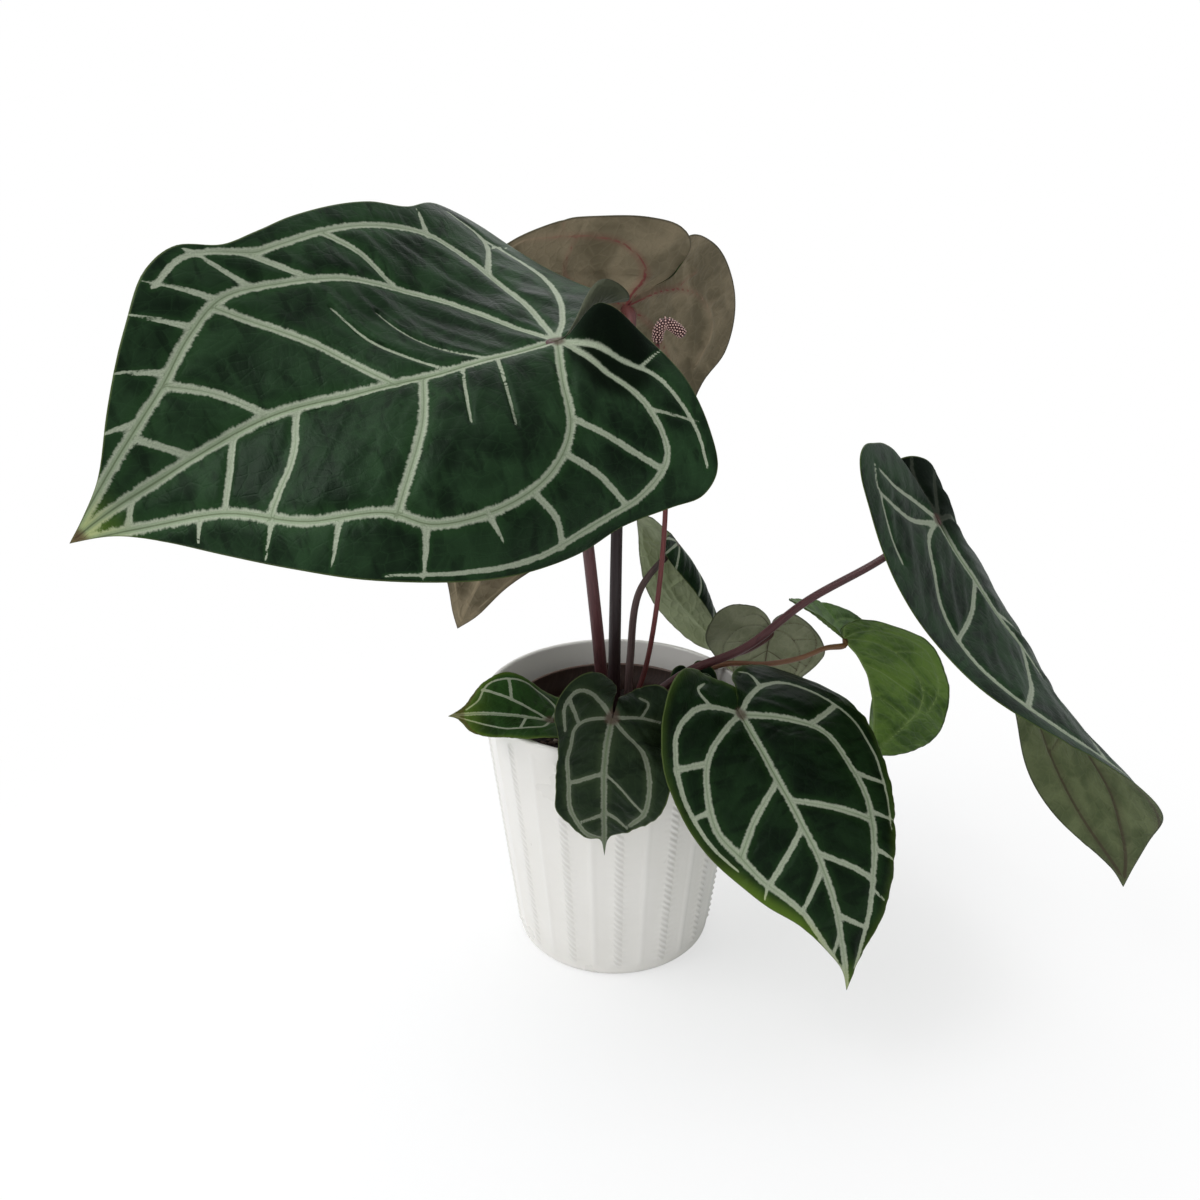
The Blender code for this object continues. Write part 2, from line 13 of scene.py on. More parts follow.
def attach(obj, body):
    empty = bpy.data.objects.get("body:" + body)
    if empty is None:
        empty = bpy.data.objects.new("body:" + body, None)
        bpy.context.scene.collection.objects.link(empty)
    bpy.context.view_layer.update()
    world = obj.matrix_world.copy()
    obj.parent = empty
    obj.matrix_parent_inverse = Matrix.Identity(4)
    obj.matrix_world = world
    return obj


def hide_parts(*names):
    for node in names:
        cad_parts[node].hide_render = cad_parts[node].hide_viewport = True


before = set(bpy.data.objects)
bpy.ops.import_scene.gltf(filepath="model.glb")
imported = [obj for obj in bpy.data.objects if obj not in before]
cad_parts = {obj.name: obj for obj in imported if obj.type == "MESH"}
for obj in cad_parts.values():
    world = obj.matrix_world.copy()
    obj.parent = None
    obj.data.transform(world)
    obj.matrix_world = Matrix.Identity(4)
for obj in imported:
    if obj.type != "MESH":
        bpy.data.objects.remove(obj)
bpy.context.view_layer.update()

# ---------------------------------------------------------------- dimensions shared with the CAD, in metres
POT_HEIGHT = 0.152
POT_RIM_RADIUS = 0.074
POT_BASE_RADIUS = 0.056
POT_LIP = 0.0032
POT_FLOOR = 0.009
RIB_PAIRS = 14
RIB_RELIEF = 0.0009
RIB_BOTTOM = 0.008
RIB_TOP = POT_HEIGHT - 0.008

NURSERY_RIM_RADIUS = 0.060
NURSERY_TOP = POT_HEIGHT - 0.010
NURSERY_BASE_RADIUS = 0.044
NURSERY_WALL = 0.0012
NURSERY_FLOOR = 0.0093

MIX_TOP = 0.130
MIX_EDGE_TOP = 0.127
CROWN_RADIUS = 0.012
CROWN_TOP = 0.137
CROWN_CENTRE = (0.002, 0.002)

# ---------------------------------------------------------------- leaves
# attach: where the stalk meets the blade. length: from there to the tip.
# heading, slope, roll: direction of the midrib in plan, its fall and its bank, in degrees, at four
# stations: behind the stalk, at the stalk, half way and at the tip.
# fold and curl: how each half leaves the midrib and how much it bends towards its margin, in degrees.
# left, right: the outline from tip to sinus as (along, across) in leaf lengths.
STATIONS = (-0.3, 0.0, 0.5, 1.0)
LEVEL, DROOPING = (0, 0, 0, 0), (-20, -20, -20, -20)
HALF_WIDTH = 0.45               # a half's width, over which its curl is counted
BLADE = 0.0007                  # thickness of a blade
PLAIN_HALF = [
    (0.93, 0.035), (0.85, 0.09), (0.70, 0.20), (0.50, 0.335), (0.30, 0.42), (0.10, 0.45),
    (-0.10, 0.42), (-0.25, 0.31), (-0.30, 0.19), (-0.26, 0.08), (-0.15, 0.02)]
LEAVES = {
    "leaf_large": dict(
        attach=(-0.0285, -0.038, 0.3528), length=0.239,
        heading=(190, 207, 194, 198), slope=(5, 10, 15, 38), roll=(-30, -23, -36, -70),
        fold_left=(-14, 0, 12, 0), curl_left=(-25, -90, -45, -20),
        fold_right=(-10, -12, 12, 40), curl_right=(-45, 24, 6, 0),
        left=[(0.93, 0.04), (0.86, 0.10), (0.76, 0.19), (0.63, 0.29), (0.50, 0.37), (0.36, 0.42),
              (0.20, 0.45), (0.09, 0.455), (0.0, 0.425), (-0.13, 0.40), (-0.22, 0.385), (-0.27, 0.34),
              (-0.27, 0.26), (-0.235, 0.14), (-0.17, 0.05), (-0.09, 0.01)],
        right=[(0.95, 0.02), (0.88, 0.06), (0.80, 0.15), (0.72, 0.26), (0.66, 0.35), (0.61, 0.385),
               (0.55, 0.38), (0.49, 0.41), (0.42, 0.45), (0.32, 0.485), (0.20, 0.505), (0.10, 0.505),
               (0.02, 0.54), (-0.05, 0.52), (-0.09, 0.45), (-0.12, 0.35), (-0.15, 0.24),
               (-0.18, 0.14), (-0.19, 0.07), (-0.14, 0.02), (-0.07, 0.004)]),
    "leaf_back": dict(
        attach=(0.0074, 0.105, 0.3500), length=0.225,
        heading=(190, 189, 193, 188), slope=(53, 57, 61, 66), roll=(58, 70, 80, 80),
        fold_left=(10, 18, 18, 10), curl_left=(-25, -15, -15, -15),
        fold_right=(13, 14, 7, 5), curl_right=(-20, -14, -18, -20),
        left=[(0.96, 0.03), (0.88, 0.08), (0.75, 0.19), (0.58, 0.29), (0.40, 0.36), (0.22, 0.385),
              (0.05, 0.36), (-0.05, 0.30), (-0.14, 0.215), (-0.21, 0.13), (-0.24, 0.06),
              (-0.22, 0.01), (-0.12, 0.004)],
        right=[(0.95, 0.04), (0.84, 0.09), (0.65, 0.22), (0.45, 0.32), (0.25, 0.38), (0.07, 0.38),
               (-0.04, 0.41), (-0.14, 0.39), (-0.21, 0.34), (-0.26, 0.25), (-0.27, 0.16), (-0.24, 0.06),
               (-0.12, 0.01)]),
    "leaf_right": dict(
        attach=(0.171, 0.003, 0.252), length=0.242,
        heading=(350, 345, 325, 395), slope=(55, 56, 48, 86), roll=(24, 30, 12, 18),
        fold_left=(35, -10, -32, -60), curl_left=(-110, -75, -60, -48),
        fold_right=(20, 12, 38, 55), curl_right=(-28, 10, -22, -14),
        left=[(0.95, 0.03), (0.83, 0.15), (0.70, 0.24), (0.55, 0.31), (0.38, 0.36), (0.20, 0.38),
              (0.06, 0.34), (-0.02, 0.25), (-0.06, 0.18), (-0.11, 0.13), (-0.145, 0.085), (-0.16, 0.045),
              (-0.15, 0.008), (-0.08, 0.003)],
        right=[(0.93, 0.02), (0.84, 0.06), (0.74, 0.14), (0.65, 0.20), (0.55, 0.27), (0.46, 0.32),
               (0.37, 0.34), (0.20, 0.34), (0.04, 0.345), (-0.08, 0.32), (-0.17, 0.29), (-0.235, 0.265),
               (-0.265, 0.23), (-0.27, 0.18), (-0.25, 0.12), (-0.22, 0.05), (-0.18, 0.006),
               (-0.09, 0.003)]),
    "leaf_front_right": dict(
        attach=(0.0638, -0.053, 0.1645), length=0.147,
        heading=(311, 301, 299, 291), slope=(17, 32, 40, 80), roll=(-18, -6, 6, -2),
        fold_left=(5, 10, 2, -2), curl_left=(-25, -25, -24, -20),
        fold_right=(30, 18, -8, 0), curl_right=(-12, -14, -27, -20),
        left=[(0.95, 0.03), (0.89, 0.08), (0.80, 0.17), (0.72, 0.24), (0.60, 0.32), (0.46, 0.41),
              (0.31, 0.48), (0.14, 0.54), (-0.01, 0.56), (-0.12, 0.51), (-0.20, 0.38), (-0.21, 0.22),
              (-0.17, 0.09), (-0.09, 0.01)],
        right=[(0.93, 0.01), (0.86, 0.05), (0.75, 0.13), (0.66, 0.21), (0.55, 0.27), (0.41, 0.33),
               (0.24, 0.38), (0.08, 0.41), (-0.06, 0.38), (-0.15, 0.28), (-0.17, 0.16), (-0.14, 0.06),
               (-0.07, 0.01)]),
    "leaf_front": dict(
        attach=(-0.0024, -0.073, 0.1728), length=0.078,
        heading=(260, 256, 265, 270), slope=(4, 27, 88, 100), roll=(-5, -6, 6, -6),
        fold_left=(20, -12, 10, 0), curl_left=(-20, -30, -18, -20),
        fold_right=(23, -9, 4, 8), curl_right=(-20, -36, -33, -18),
        left=[(0.86, 0.03), (0.80, 0.12), (0.73, 0.22), (0.64, 0.33), (0.52, 0.40), (0.30, 0.44),
              (0.08, 0.46), (-0.10, 0.44), (-0.24, 0.36), (-0.30, 0.24), (-0.26, 0.11), (-0.13, 0.02)],
        right=[(0.86, 0.03), (0.83, 0.12), (0.74, 0.24), (0.65, 0.31), (0.46, 0.33), (0.27, 0.34),
               (0.08, 0.40), (-0.08, 0.42), (-0.20, 0.35), (-0.31, 0.22), (-0.34, 0.11), (-0.26, 0.04),
               (-0.12, 0.01)]),
    "leaf_left": dict(
        attach=(-0.0345, -0.0395, 0.1535), length=0.0545,
        heading=(190, 183, 184, 186), slope=(-3, -10, -7, 7), roll=(-10, -6, -20, -17),
        fold_left=(15, 15, 9, -6), curl_left=(-20, -15, -15, -20),
        fold_right=(16, 9, 24, 0), curl_right=(-20, -15, -11, -20),
        left=[(0.93, 0.035), (0.88, 0.09), (0.79, 0.22), (0.62, 0.30), (0.40, 0.33), (0.20, 0.38),
              (0.02, 0.38), (-0.12, 0.33), (-0.20, 0.24), (-0.20, 0.14), (-0.14, 0.05), (-0.06, 0.01)],
        right=[(0.92, 0.04), (0.83, 0.11), (0.76, 0.23), (0.66, 0.35), (0.50, 0.46), (0.31, 0.48),
               (0.10, 0.47), (-0.06, 0.42), (-0.16, 0.32), (-0.19, 0.20), (-0.14, 0.07), (-0.06, 0.01)]),
    "leaf_folded": dict(
        attach=(0.0370, 0.055, 0.2215), length=0.100,
        heading=(40, 35, 40, 38), slope=(56, 50, 66, 62), roll=(10, 12, 0, 0),
        fold_left=(-2, -8, -12, -12), curl_left=(-20, -18, -18, -20),
        fold_right=(-25, -25, -25, -20), curl_right=(-190, -190, -190, -150),
        left=[(1.00, 0.08), (0.97, 0.18), (0.86, 0.30), (0.72, 0.37), (0.55, 0.42), (0.35, 0.455),
              (0.15, 0.44), (0.00, 0.38), (-0.12, 0.29), (-0.16, 0.18), (-0.12, 0.07), (-0.06, 0.01)],
        right=[(0.96, 0.02), (0.85, 0.05), (0.70, 0.09), (0.50, 0.125), (0.30, 0.145), (0.10, 0.15),
               (-0.06, 0.14), (-0.13, 0.10), (-0.12, 0.04), (-0.06, 0.01)]),
    "leaf_pale": dict(
        attach=(0.0945, 0.055, 0.1665), length=0.075,
        heading=(95, 95, 90, 90), slope=(62, 66, 72, 75), roll=LEVEL,
        fold_left=LEVEL, curl_left=DROOPING,
        fold_right=LEVEL, curl_right=DROOPING,
        left=[(0.90, 0.06), (0.70, 0.20), (0.50, 0.32), (0.29, 0.42), (0.10, 0.52), (-0.03, 0.57),
              (-0.20, 0.56), (-0.32, 0.50), (-0.36, 0.36), (-0.30, 0.20), (-0.20, 0.09), (-0.07, 0.01)],
        right=[(0.90, 0.06), (0.75, 0.17), (0.56, 0.30), (0.35, 0.43), (0.20, 0.47), (-0.02, 0.35),
               (-0.15, 0.20), (-0.18, 0.10), (-0.10, 0.01)]),
    "leaf_new": dict(
        attach=(0.1335, 0.032, 0.1705), length=0.126,
        heading=(38, 38, 56, 80), slope=(36, 42, 62, 72), roll=(-33, -33, -12, -8),
        fold_left=(35, 45, 85, 70), curl_left=(10, 20, 0, 0),
        fold_right=(-8, -5, -8, -6), curl_right=(-23, -24, -22, -21),
        left=[(0.93, 0.035), (0.80, 0.10), (0.65, 0.18), (0.45, 0.27), (0.25, 0.32), (0.05, 0.33),
              (-0.12, 0.28), (-0.24, 0.20), (-0.28, 0.11), (-0.20, 0.04), (-0.08, 0.01)],
        right=[(0.99, 0.09), (0.94, 0.18), (0.79, 0.28), (0.54, 0.37), (0.29, 0.42), (0.10, 0.425),
               (-0.06, 0.40), (-0.15, 0.30), (-0.175, 0.19), (-0.14, 0.09), (-0.07, 0.015)]),
    "leaf_shaded": dict(
        attach=(0.0450, 0.012, 0.1525), length=0.036,
        heading=(300, 300, 300, 300), slope=(60, 45, -8, -10), roll=LEVEL,
        fold_left=(10, 5, 0, 0), curl_left=DROOPING,
        fold_right=(10, 5, 0, 0), curl_right=DROOPING,
        left=PLAIN_HALF, right=PLAIN_HALF),
}

# foot: where the stalk leaves the crown or the mix. via: points on its way. radius: at the foot.
STALKS = {
    "leaf_large": dict(foot=(-0.0055, -0.0035), radius=0.0036, via=[(-0.0105, -0.010, 0.200),
                       (-0.0205, -0.018, 0.290)]),
    "leaf_back": dict(foot=(-0.0005, 0.0060), radius=0.0036, via=[(0.0000, 0.010, 0.190),
                      (0.0020, 0.034, 0.270)]),
    "leaf_right": dict(foot=(0.0085, 0.0010), radius=0.0026, via=[(0.0400, 0.004, 0.1615),
                       (0.0720, 0.004, 0.1765), (0.1050, 0.004, 0.2048), (0.1420, 0.002, 0.2290)]),
    "leaf_front_right": dict(foot=(0.0140, -0.0180), radius=0.0021, via=[(0.0380, -0.028, 0.1500),
                             (0.0540, -0.040, 0.1570)]),
    "leaf_front": dict(foot=(-0.0020, -0.0180), radius=0.0018, via=[(-0.0020, -0.040, 0.1500),
                       (-0.0020, -0.058, 0.1600)]),
    "leaf_left": dict(foot=(-0.0150, -0.0120), radius=0.0015, via=[(-0.0220, -0.028, 0.1440)]),
    "leaf_folded": dict(foot=(0.0078, 0.0090), radius=0.0024, via=[(0.0090, 0.018, 0.1650),
                        (0.0140, 0.030, 0.2000)]),
    "leaf_pale": dict(foot=(0.0200, 0.0120), radius=0.0016, via=[(0.0450, 0.032, 0.1490),
                      (0.0640, 0.037, 0.1560), (0.0790, 0.041, 0.1580)]),
    "leaf_new": dict(foot=(0.0230, 0.0030), radius=0.0019, via=[(0.0450, 0.026, 0.1450),
                     (0.0620, 0.030, 0.1540), (0.0890, 0.023, 0.1580), (0.1080, 0.024, 0.1615),
                     (0.1225, 0.0275, 0.1660)]),
    "leaf_shaded": dict(foot=(0.0330, 0.0000), radius=0.0014, via=[(0.0390, 0.006, 0.1410)]),
}
TIP_RADIUS = 0.76               # radius of a leaf stalk where it meets the blade, as a share of its foot
CROWN_STALKS = ("leaf_large", "leaf_back", "leaf_right", "leaf_folded")

PEDUNCLE_FOOT = (0.0065, -0.0055)
PEDUNCLE_VIA = [(0.0175, -0.002, 0.170), (0.0265, 0.008, 0.250), (0.0240, 0.010, 0.310),
                (0.0206, 0.010, 0.3435)]
PEDUNCLE_RADIUS = 0.0015
SPADIX_PATH = [(0.0206, 0.010, 0.3440), (0.0216, 0.010, 0.3505), (0.0245, 0.010, 0.3540),
               (0.0290, 0.010, 0.3520), (0.0345, 0.010, 0.3475)]
SPADIX_RADIUS = 0.0031
BRACT_FOOT = (0.0240, -0.0070)
BRACT_VIA = [(0.0260, -0.0050, 0.1495)]
BRACT_RADIUS = 0.0038

# ---------------------------------------------------------------- veins
# Each vein is (half width at its start, half width at its end, points), in leaf lengths.
WIDE, MEDIUM, NARROW, THIN, HAIR = 0.0120, 0.0095, 0.0070, 0.0042, 0.0022
PLAIN_VEINS = [
    (NARROW, MEDIUM, [(0, 0), (0.05, 0.12), (0.2, 0.25), (0.42, 0.27), (0.7, 0.15), (0.96, 0.01)]),
    (NARROW, NARROW, [(0, 0), (-0.06, 0.12), (-0.05, 0.28), (0.1, 0.38), (0.33, 0.36), (0.52, 0.28)]),
    (NARROW, THIN, [(0, 0), (-0.12, 0.07), (-0.2, 0.17), (-0.18, 0.28)]),
    (NARROW, NARROW, [(0.25, 0), (0.36, 0.14), (0.45, 0.27)]),
    (NARROW, NARROW, [(0.5, 0), (0.58, 0.11), (0.65, 0.18)]),
    (NARROW, THIN, [(0.12, 0.2), (0.09, 0.38)]),
    (NARROW, THIN, [(0.35, 0.27), (0.4, 0.34)]),
]
MIDRIB = [(WIDE, MEDIUM, [(0, 0), (0.3, 0), (0.6, 0), (0.97, 0)])]

VEINS = {
    "leaf_large": dict(
        midrib=[(WIDE, WIDE, [(0, 0), (0.33, -0.005), (0.55, -0.018), (0.75, 0), (0.98, 0)])],
        left=[
            (MEDIUM, WIDE, [(0, 0), (0.04, 0.10), (0.07, 0.20), (0.14, 0.27), (0.25, 0.31), (0.36, 0.31),
                            (0.42, 0.27), (0.56, 0.23), (0.71, 0.13), (0.87, 0.06), (0.98, 0.01)]),
            (NARROW, MEDIUM, [(0, 0), (-0.05, 0.10), (-0.12, 0.19), (-0.14, 0.29), (-0.06, 0.36),
                              (0.08, 0.40)]),
            (MEDIUM, HAIR, [(0.08, 0.40), (0.20, 0.42), (0.34, 0.405), (0.46, 0.375)]),
            (NARROW, THIN, [(0, 0), (-0.08, 0.08), (-0.17, 0.14), (-0.23, 0.25), (-0.24, 0.33)]),
            (MEDIUM, MEDIUM, [(0.28, 0), (0.32, 0.12), (0.41, 0.28)]),
            (NARROW, MEDIUM, [(0.52, -0.01), (0.55, 0.09), (0.63, 0.19)]),
            (NARROW, NARROW, [(0.64, -0.01), (0.67, 0.06), (0.71, 0.13)]),
            (THIN, NARROW, [(0.85, 0), (0.89, 0.04)]),
            (THIN, HAIR, [(0.20, -0.005), (0.22, 0.06), (0.24, 0.14)]),
            (THIN, HAIR, [(0.13, 0), (0.15, 0.08), (0.17, 0.17)]),
            (NARROW, NARROW, [(0.06, 0.18), (-0.05, 0.27), (-0.12, 0.32)]),
            (NARROW, NARROW, [(0.10, 0.24), (0.04, 0.30), (-0.01, 0.37)]),
            (NARROW, NARROW, [(0.18, 0.30), (0.15, 0.36), (0.15, 0.42)]),
            (NARROW, HAIR, [(0.37, 0.31), (0.40, 0.40)]),
            (NARROW, HAIR, [(0.50, 0.25), (0.55, 0.335)]),
            (NARROW, HAIR, [(0.62, 0.19), (0.67, 0.25)]),
            (NARROW, HAIR, [(0.27, 0.31), (0.26, 0.37)]),
            (NARROW, HAIR, [(0.76, 0.11), (0.79, 0.15)]),
            (THIN, HAIR, [(-0.13, 0.20), (-0.24, 0.24)]),
            (THIN, HAIR, [(-0.14, 0.11), (-0.20, 0.08)])],
        right=[
            (NARROW, WIDE, [(0, 0), (0.04, 0.08), (0.15, 0.23), (0.32, 0.29), (0.48, 0.29), (0.57, 0.27),
                            (0.64, 0.21), (0.71, 0.14), (0.77, 0.10), (0.87, 0.05), (0.97, 0.01)]),
            (NARROW, MEDIUM, [(0, 0), (-0.01, 0.10), (-0.01, 0.19), (0.02, 0.33), (0.08, 0.42),
                              (0.18, 0.44), (0.34, 0.42), (0.50, 0.36)]),
            (MEDIUM, THIN, [(0.50, 0.36), (0.60, 0.36), (0.66, 0.31)]),
            (NARROW, THIN, [(0, 0), (-0.05, 0.08), (-0.08, 0.17), (-0.09, 0.30), (-0.06, 0.41),
                            (-0.03, 0.45)]),
            (NARROW, HAIR, [(0.01, 0.30), (-0.03, 0.41), (-0.03, 0.46), (0.01, 0.52)]),
            (THIN, HAIR, [(-0.03, 0.41), (-0.08, 0.44)]),
            (MEDIUM, MEDIUM, [(0.33, 0), (0.43, 0.12), (0.59, 0.25)]),
            (NARROW, MEDIUM, [(0.57, 0.02), (0.64, 0.09), (0.71, 0.14)]),
            (NARROW, NARROW, [(0.72, 0), (0.79, 0.08)]),
            (NARROW, MEDIUM, [(0.24, 0.28), (0.29, 0.36), (0.36, 0.41)]),
            (NARROW, NARROW, [(0.41, 0.29), (0.52, 0.36)]),
            (NARROW, HAIR, [(0.53, 0.29), (0.60, 0.375)]),
            (NARROW, HAIR, [(0.59, 0.27), (0.67, 0.33)]),
            (NARROW, HAIR, [(0.63, 0.22), (0.71, 0.28)]),
            (NARROW, HAIR, [(0.70, 0.16), (0.77, 0.20)]),
            (NARROW, HAIR, [(0.77, 0.10), (0.84, 0.12)]),
            (NARROW, HAIR, [(0.09, 0.42), (0.08, 0.50)]),
            (THIN, HAIR, [(0.14, 0), (0.26, 0.12), (0.31, 0.20)]),
            (THIN, HAIR, [(0.22, 0), (0.34, 0.12), (0.40, 0.22)])]),
    "leaf_back": dict(
        midrib=MIDRIB,
        left=[
            (NARROW, NARROW, [(0, 0), (-0.10, 0.06), (-0.12, 0.14), (-0.04, 0.26), (0.02, 0.33),
                              (0.2, 0.38)]),
            (NARROW, NARROW, [(0, 0), (0.04, 0.13), (0.2, 0.25), (0.42, 0.27), (0.7, 0.15), (0.96, 0.01)]),
            (THIN, THIN, [(0.02, 0.11), (0.02, 0.18), (-0.07, 0.22)]),
            (NARROW, THIN, [(0.2, 0), (0.3, 0.13), (0.42, 0.27)]),
            (NARROW, THIN, [(0.45, 0), (0.55, 0.12), (0.63, 0.19)]),
            (THIN, THIN, [(-0.05, 0.25), (-0.12, 0.28)])],
        right=[
            (NARROW, NARROW, [(0, 0), (-0.08, 0.08), (-0.13, 0.22), (-0.08, 0.32), (0.05, 0.33)]),
            (NARROW, THIN, [(0, 0), (-0.10, 0.01), (-0.17, 0.03), (-0.2, 0.1)]),
            (NARROW, NARROW, [(0, 0), (0.02, 0.15), (0.1, 0.26), (0.35, 0.28), (0.6, 0.19), (0.95, 0.02)]),
            (THIN, THIN, [(-0.1, 0.12), (-0.18, 0.17)]),
            (THIN, THIN, [(-0.12, 0.27), (-0.18, 0.31)])]),
    "leaf_right": dict(
        midrib=MIDRIB,
        left=PLAIN_VEINS,
        right=[
            (NARROW, MEDIUM, [(0, 0), (0.01, 0.09), (0.07, 0.16), (0.13, 0.21), (0.22, 0.24), (0.30, 0.27),
                              (0.40, 0.27), (0.51, 0.23), (0.68, 0.15), (0.92, 0.03)]),
            (NARROW, THIN, [(0, 0), (-0.07, 0.05), (-0.14, 0.12), (-0.20, 0.16)]),
            (NARROW, THIN, [(0, 0.02), (-0.06, 0.12), (-0.13, 0.18), (-0.18, 0.21), (-0.22, 0.17)]),
            (THIN, THIN, [(-0.17, 0.21), (-0.08, 0.25), (-0.02, 0.26)]),
            (NARROW, NARROW, [(0.16, 0), (0.20, 0.10), (0.21, 0.24)]),
            (NARROW, NARROW, [(0.34, 0), (0.40, 0.13), (0.42, 0.27)]),
            (NARROW, NARROW, [(0.50, 0), (0.56, 0.10), (0.58, 0.20)])]),
    "leaf_front_right": dict(
        midrib=[(WIDE, NARROW, [(0, 0), (0.35, 0.005), (0.6, 0.01), (0.98, 0)])],
        left=[
            (MEDIUM, MEDIUM, [(0, 0), (0.08, 0.19), (0.16, 0.28), (0.29, 0.30), (0.41, 0.30),
                              (0.52, 0.26)]),
            (MEDIUM, THIN, [(0.52, 0.26), (0.71, 0.16), (0.93, 0.04)]),
            (NARROW, THIN, [(0, 0), (-0.05, 0.07), (-0.09, 0.18), (-0.08, 0.30), (-0.03, 0.37),
                            (0.05, 0.42), (0.15, 0.46), (0.28, 0.45)]),
            (THIN, HAIR, [(0.28, 0.45), (0.42, 0.40), (0.55, 0.335)]),
            (NARROW, HAIR, [(-0.09, 0.16), (-0.16, 0.17), (-0.17, 0.12)]),
            (NARROW, MEDIUM, [(0.35, 0.01), (0.42, 0.15), (0.50, 0.27)]),
            (NARROW, NARROW, [(0.54, 0.01), (0.63, 0.13), (0.68, 0.18)]),
            (NARROW, THIN, [(0.75, 0.01), (0.81, 0.10)]),
            (NARROW, NARROW, [(0.11, 0.24), (0.06, 0.41)]),
            (NARROW, THIN, [(0.33, 0.31), (0.39, 0.41)]),
            (NARROW, HAIR, [(0.47, 0.28), (0.53, 0.38)]),
            (NARROW, HAIR, [(0.59, 0.23), (0.64, 0.29)]),
            (THIN, HAIR, [(0.70, 0.16), (0.75, 0.20)])],
        right=[
            (NARROW, MEDIUM, [(0, 0), (0.05, 0.11), (0.13, 0.22), (0.24, 0.26), (0.35, 0.27),
                              (0.46, 0.23)]),
            (MEDIUM, THIN, [(0.46, 0.23), (0.57, 0.19), (0.70, 0.11), (0.80, 0.07), (0.95, 0)]),
            (NARROW, NARROW, [(0, 0), (-0.02, 0.07), (-0.03, 0.20), (-0.01, 0.27), (0.04, 0.34),
                              (0.14, 0.355)]),
            (NARROW, HAIR, [(0.14, 0.355), (0.28, 0.335), (0.40, 0.30), (0.50, 0.255)]),
            (NARROW, HAIR, [(-0.03, 0.15), (-0.09, 0.19), (-0.12, 0.13)]),
            (NARROW, MEDIUM, [(0.27, 0), (0.37, 0.14), (0.46, 0.23)]),
            (NARROW, NARROW, [(0.45, 0), (0.58, 0.17)]),
            (NARROW, THIN, [(0.60, 0), (0.70, 0.10)]),
            (THIN, THIN, [(0.81, 0), (0.86, 0.03)]),
            (NARROW, NARROW, [(0.15, 0.23), (0.14, 0.35)]),
            (NARROW, THIN, [(0.29, 0.27), (0.29, 0.33)]),
            (THIN, HAIR, [(0.58, 0.18), (0.63, 0.21)])]),
    "leaf_front": dict(
        midrib=MIDRIB,
        left=[
            (NARROW, MEDIUM, [(0, 0), (0.05, 0.06), (0.17, 0.20), (0.32, 0.27), (0.45, 0.29), (0.60, 0.26),
                              (0.72, 0.17)]),
            (NARROW, THIN, [(0, 0), (-0.03, 0.08), (-0.07, 0.17), (-0.10, 0.31)]),
            (THIN, THIN, [(-0.08, 0.18), (-0.18, 0.20), (-0.20, 0.14)]),
            (THIN, THIN, [(0.36, 0), (0.46, 0.12), (0.60, 0.26)]),
            (NARROW, THIN, [(0.63, 0), (0.68, 0.08), (0.75, 0.15)])],
        right=[
            (NARROW, MEDIUM, [(0, 0), (0.01, 0.11), (0.06, 0.24), (0.23, 0.27), (0.44, 0.24), (0.63, 0.22),
                              (0.77, 0.14), (0.85, 0.03)]),
            (NARROW, NARROW, [(0, 0), (-0.11, 0.10), (-0.17, 0.17), (-0.18, 0.26), (-0.09, 0.34),
                              (0.07, 0.33)]),
            (NARROW, NARROW, [(-0.13, 0.31), (0.02, 0.23)]),
            (NARROW, NARROW, [(0.36, 0), (0.46, 0.23)]),
            (NARROW, THIN, [(0.65, 0), (0.68, 0.08), (0.72, 0.15)])]),
    "leaf_left": dict(
        midrib=MIDRIB,
        left=[
            (NARROW, THIN, [(0, 0), (0.08, 0.16), (0.29, 0.21), (0.5, 0.19), (0.75, 0.10), (0.92, 0.02)]),
            (NARROW, NARROW, [(0.24, 0), (0.29, 0.20)])],
        right=[
            (NARROW, NARROW, [(0, 0), (0.15, 0.09), (0.39, 0.17), (0.67, 0.26)]),
            (NARROW, THIN, [(0, 0), (-0.05, 0.20), (0.05, 0.35), (0.22, 0.42), (0.43, 0.40), (0.60, 0.34),
                            (0.66, 0.26), (0.71, 0.14), (0.82, 0.05)]),
            (NARROW, NARROW, [(0.44, 0.39), (0.40, 0.17)])]),
}
PLAIN_SIDES = dict(midrib=MIDRIB, left=PLAIN_VEINS, right=PLAIN_VEINS)


# ---------------------------------------------------------------- curves and leaf surface
def hermite(u, span, start, end, start_slope, end_slope):
    """Cubic from start to end with the slopes given; u runs from 0 to 1 over the span."""
    return ((2 * u ** 3 - 3 * u ** 2 + 1) * start + (u ** 3 - 2 * u ** 2 + u) * span * start_slope
            + (3 * u ** 2 - 2 * u ** 3) * end + (u ** 3 - u ** 2) * span * end_slope)


def through(points, per_span):
    """Smooth curve through the points, without overshoot where they are unevenly spaced."""
    pts = np.array(points, float)
    knots = np.cumsum([0, *np.sqrt(step_lengths(pts))])
    slope = np.gradient(pts, knots, axis=0)
    out = []
    for i in range(len(pts) - 1):
        span = knots[i + 1] - knots[i]
        out += [hermite(k / per_span, span, pts[i], pts[i + 1], slope[i], slope[i + 1])
                for k in range(per_span)]
    return np.array(out + [pts[-1]])


def step_lengths(curve):
    return np.linalg.norm(np.diff(curve, axis=0), axis=1)


def distances_along(curve):
    return np.concatenate([[0], np.cumsum(step_lengths(curve))])


def directions_along(curve):
    tangents = np.gradient(curve, axis=0)
    return tangents / np.linalg.norm(tangents, axis=1, keepdims=True)


def evenly(curve, count):
    """Resample a curve to points at equal distances along it."""
    along = distances_along(curve)
    marks = np.linspace(0, along[-1], count)
    return np.stack([np.interp(marks, along, curve[:, k]) for k in range(curve.shape[1])], -1)


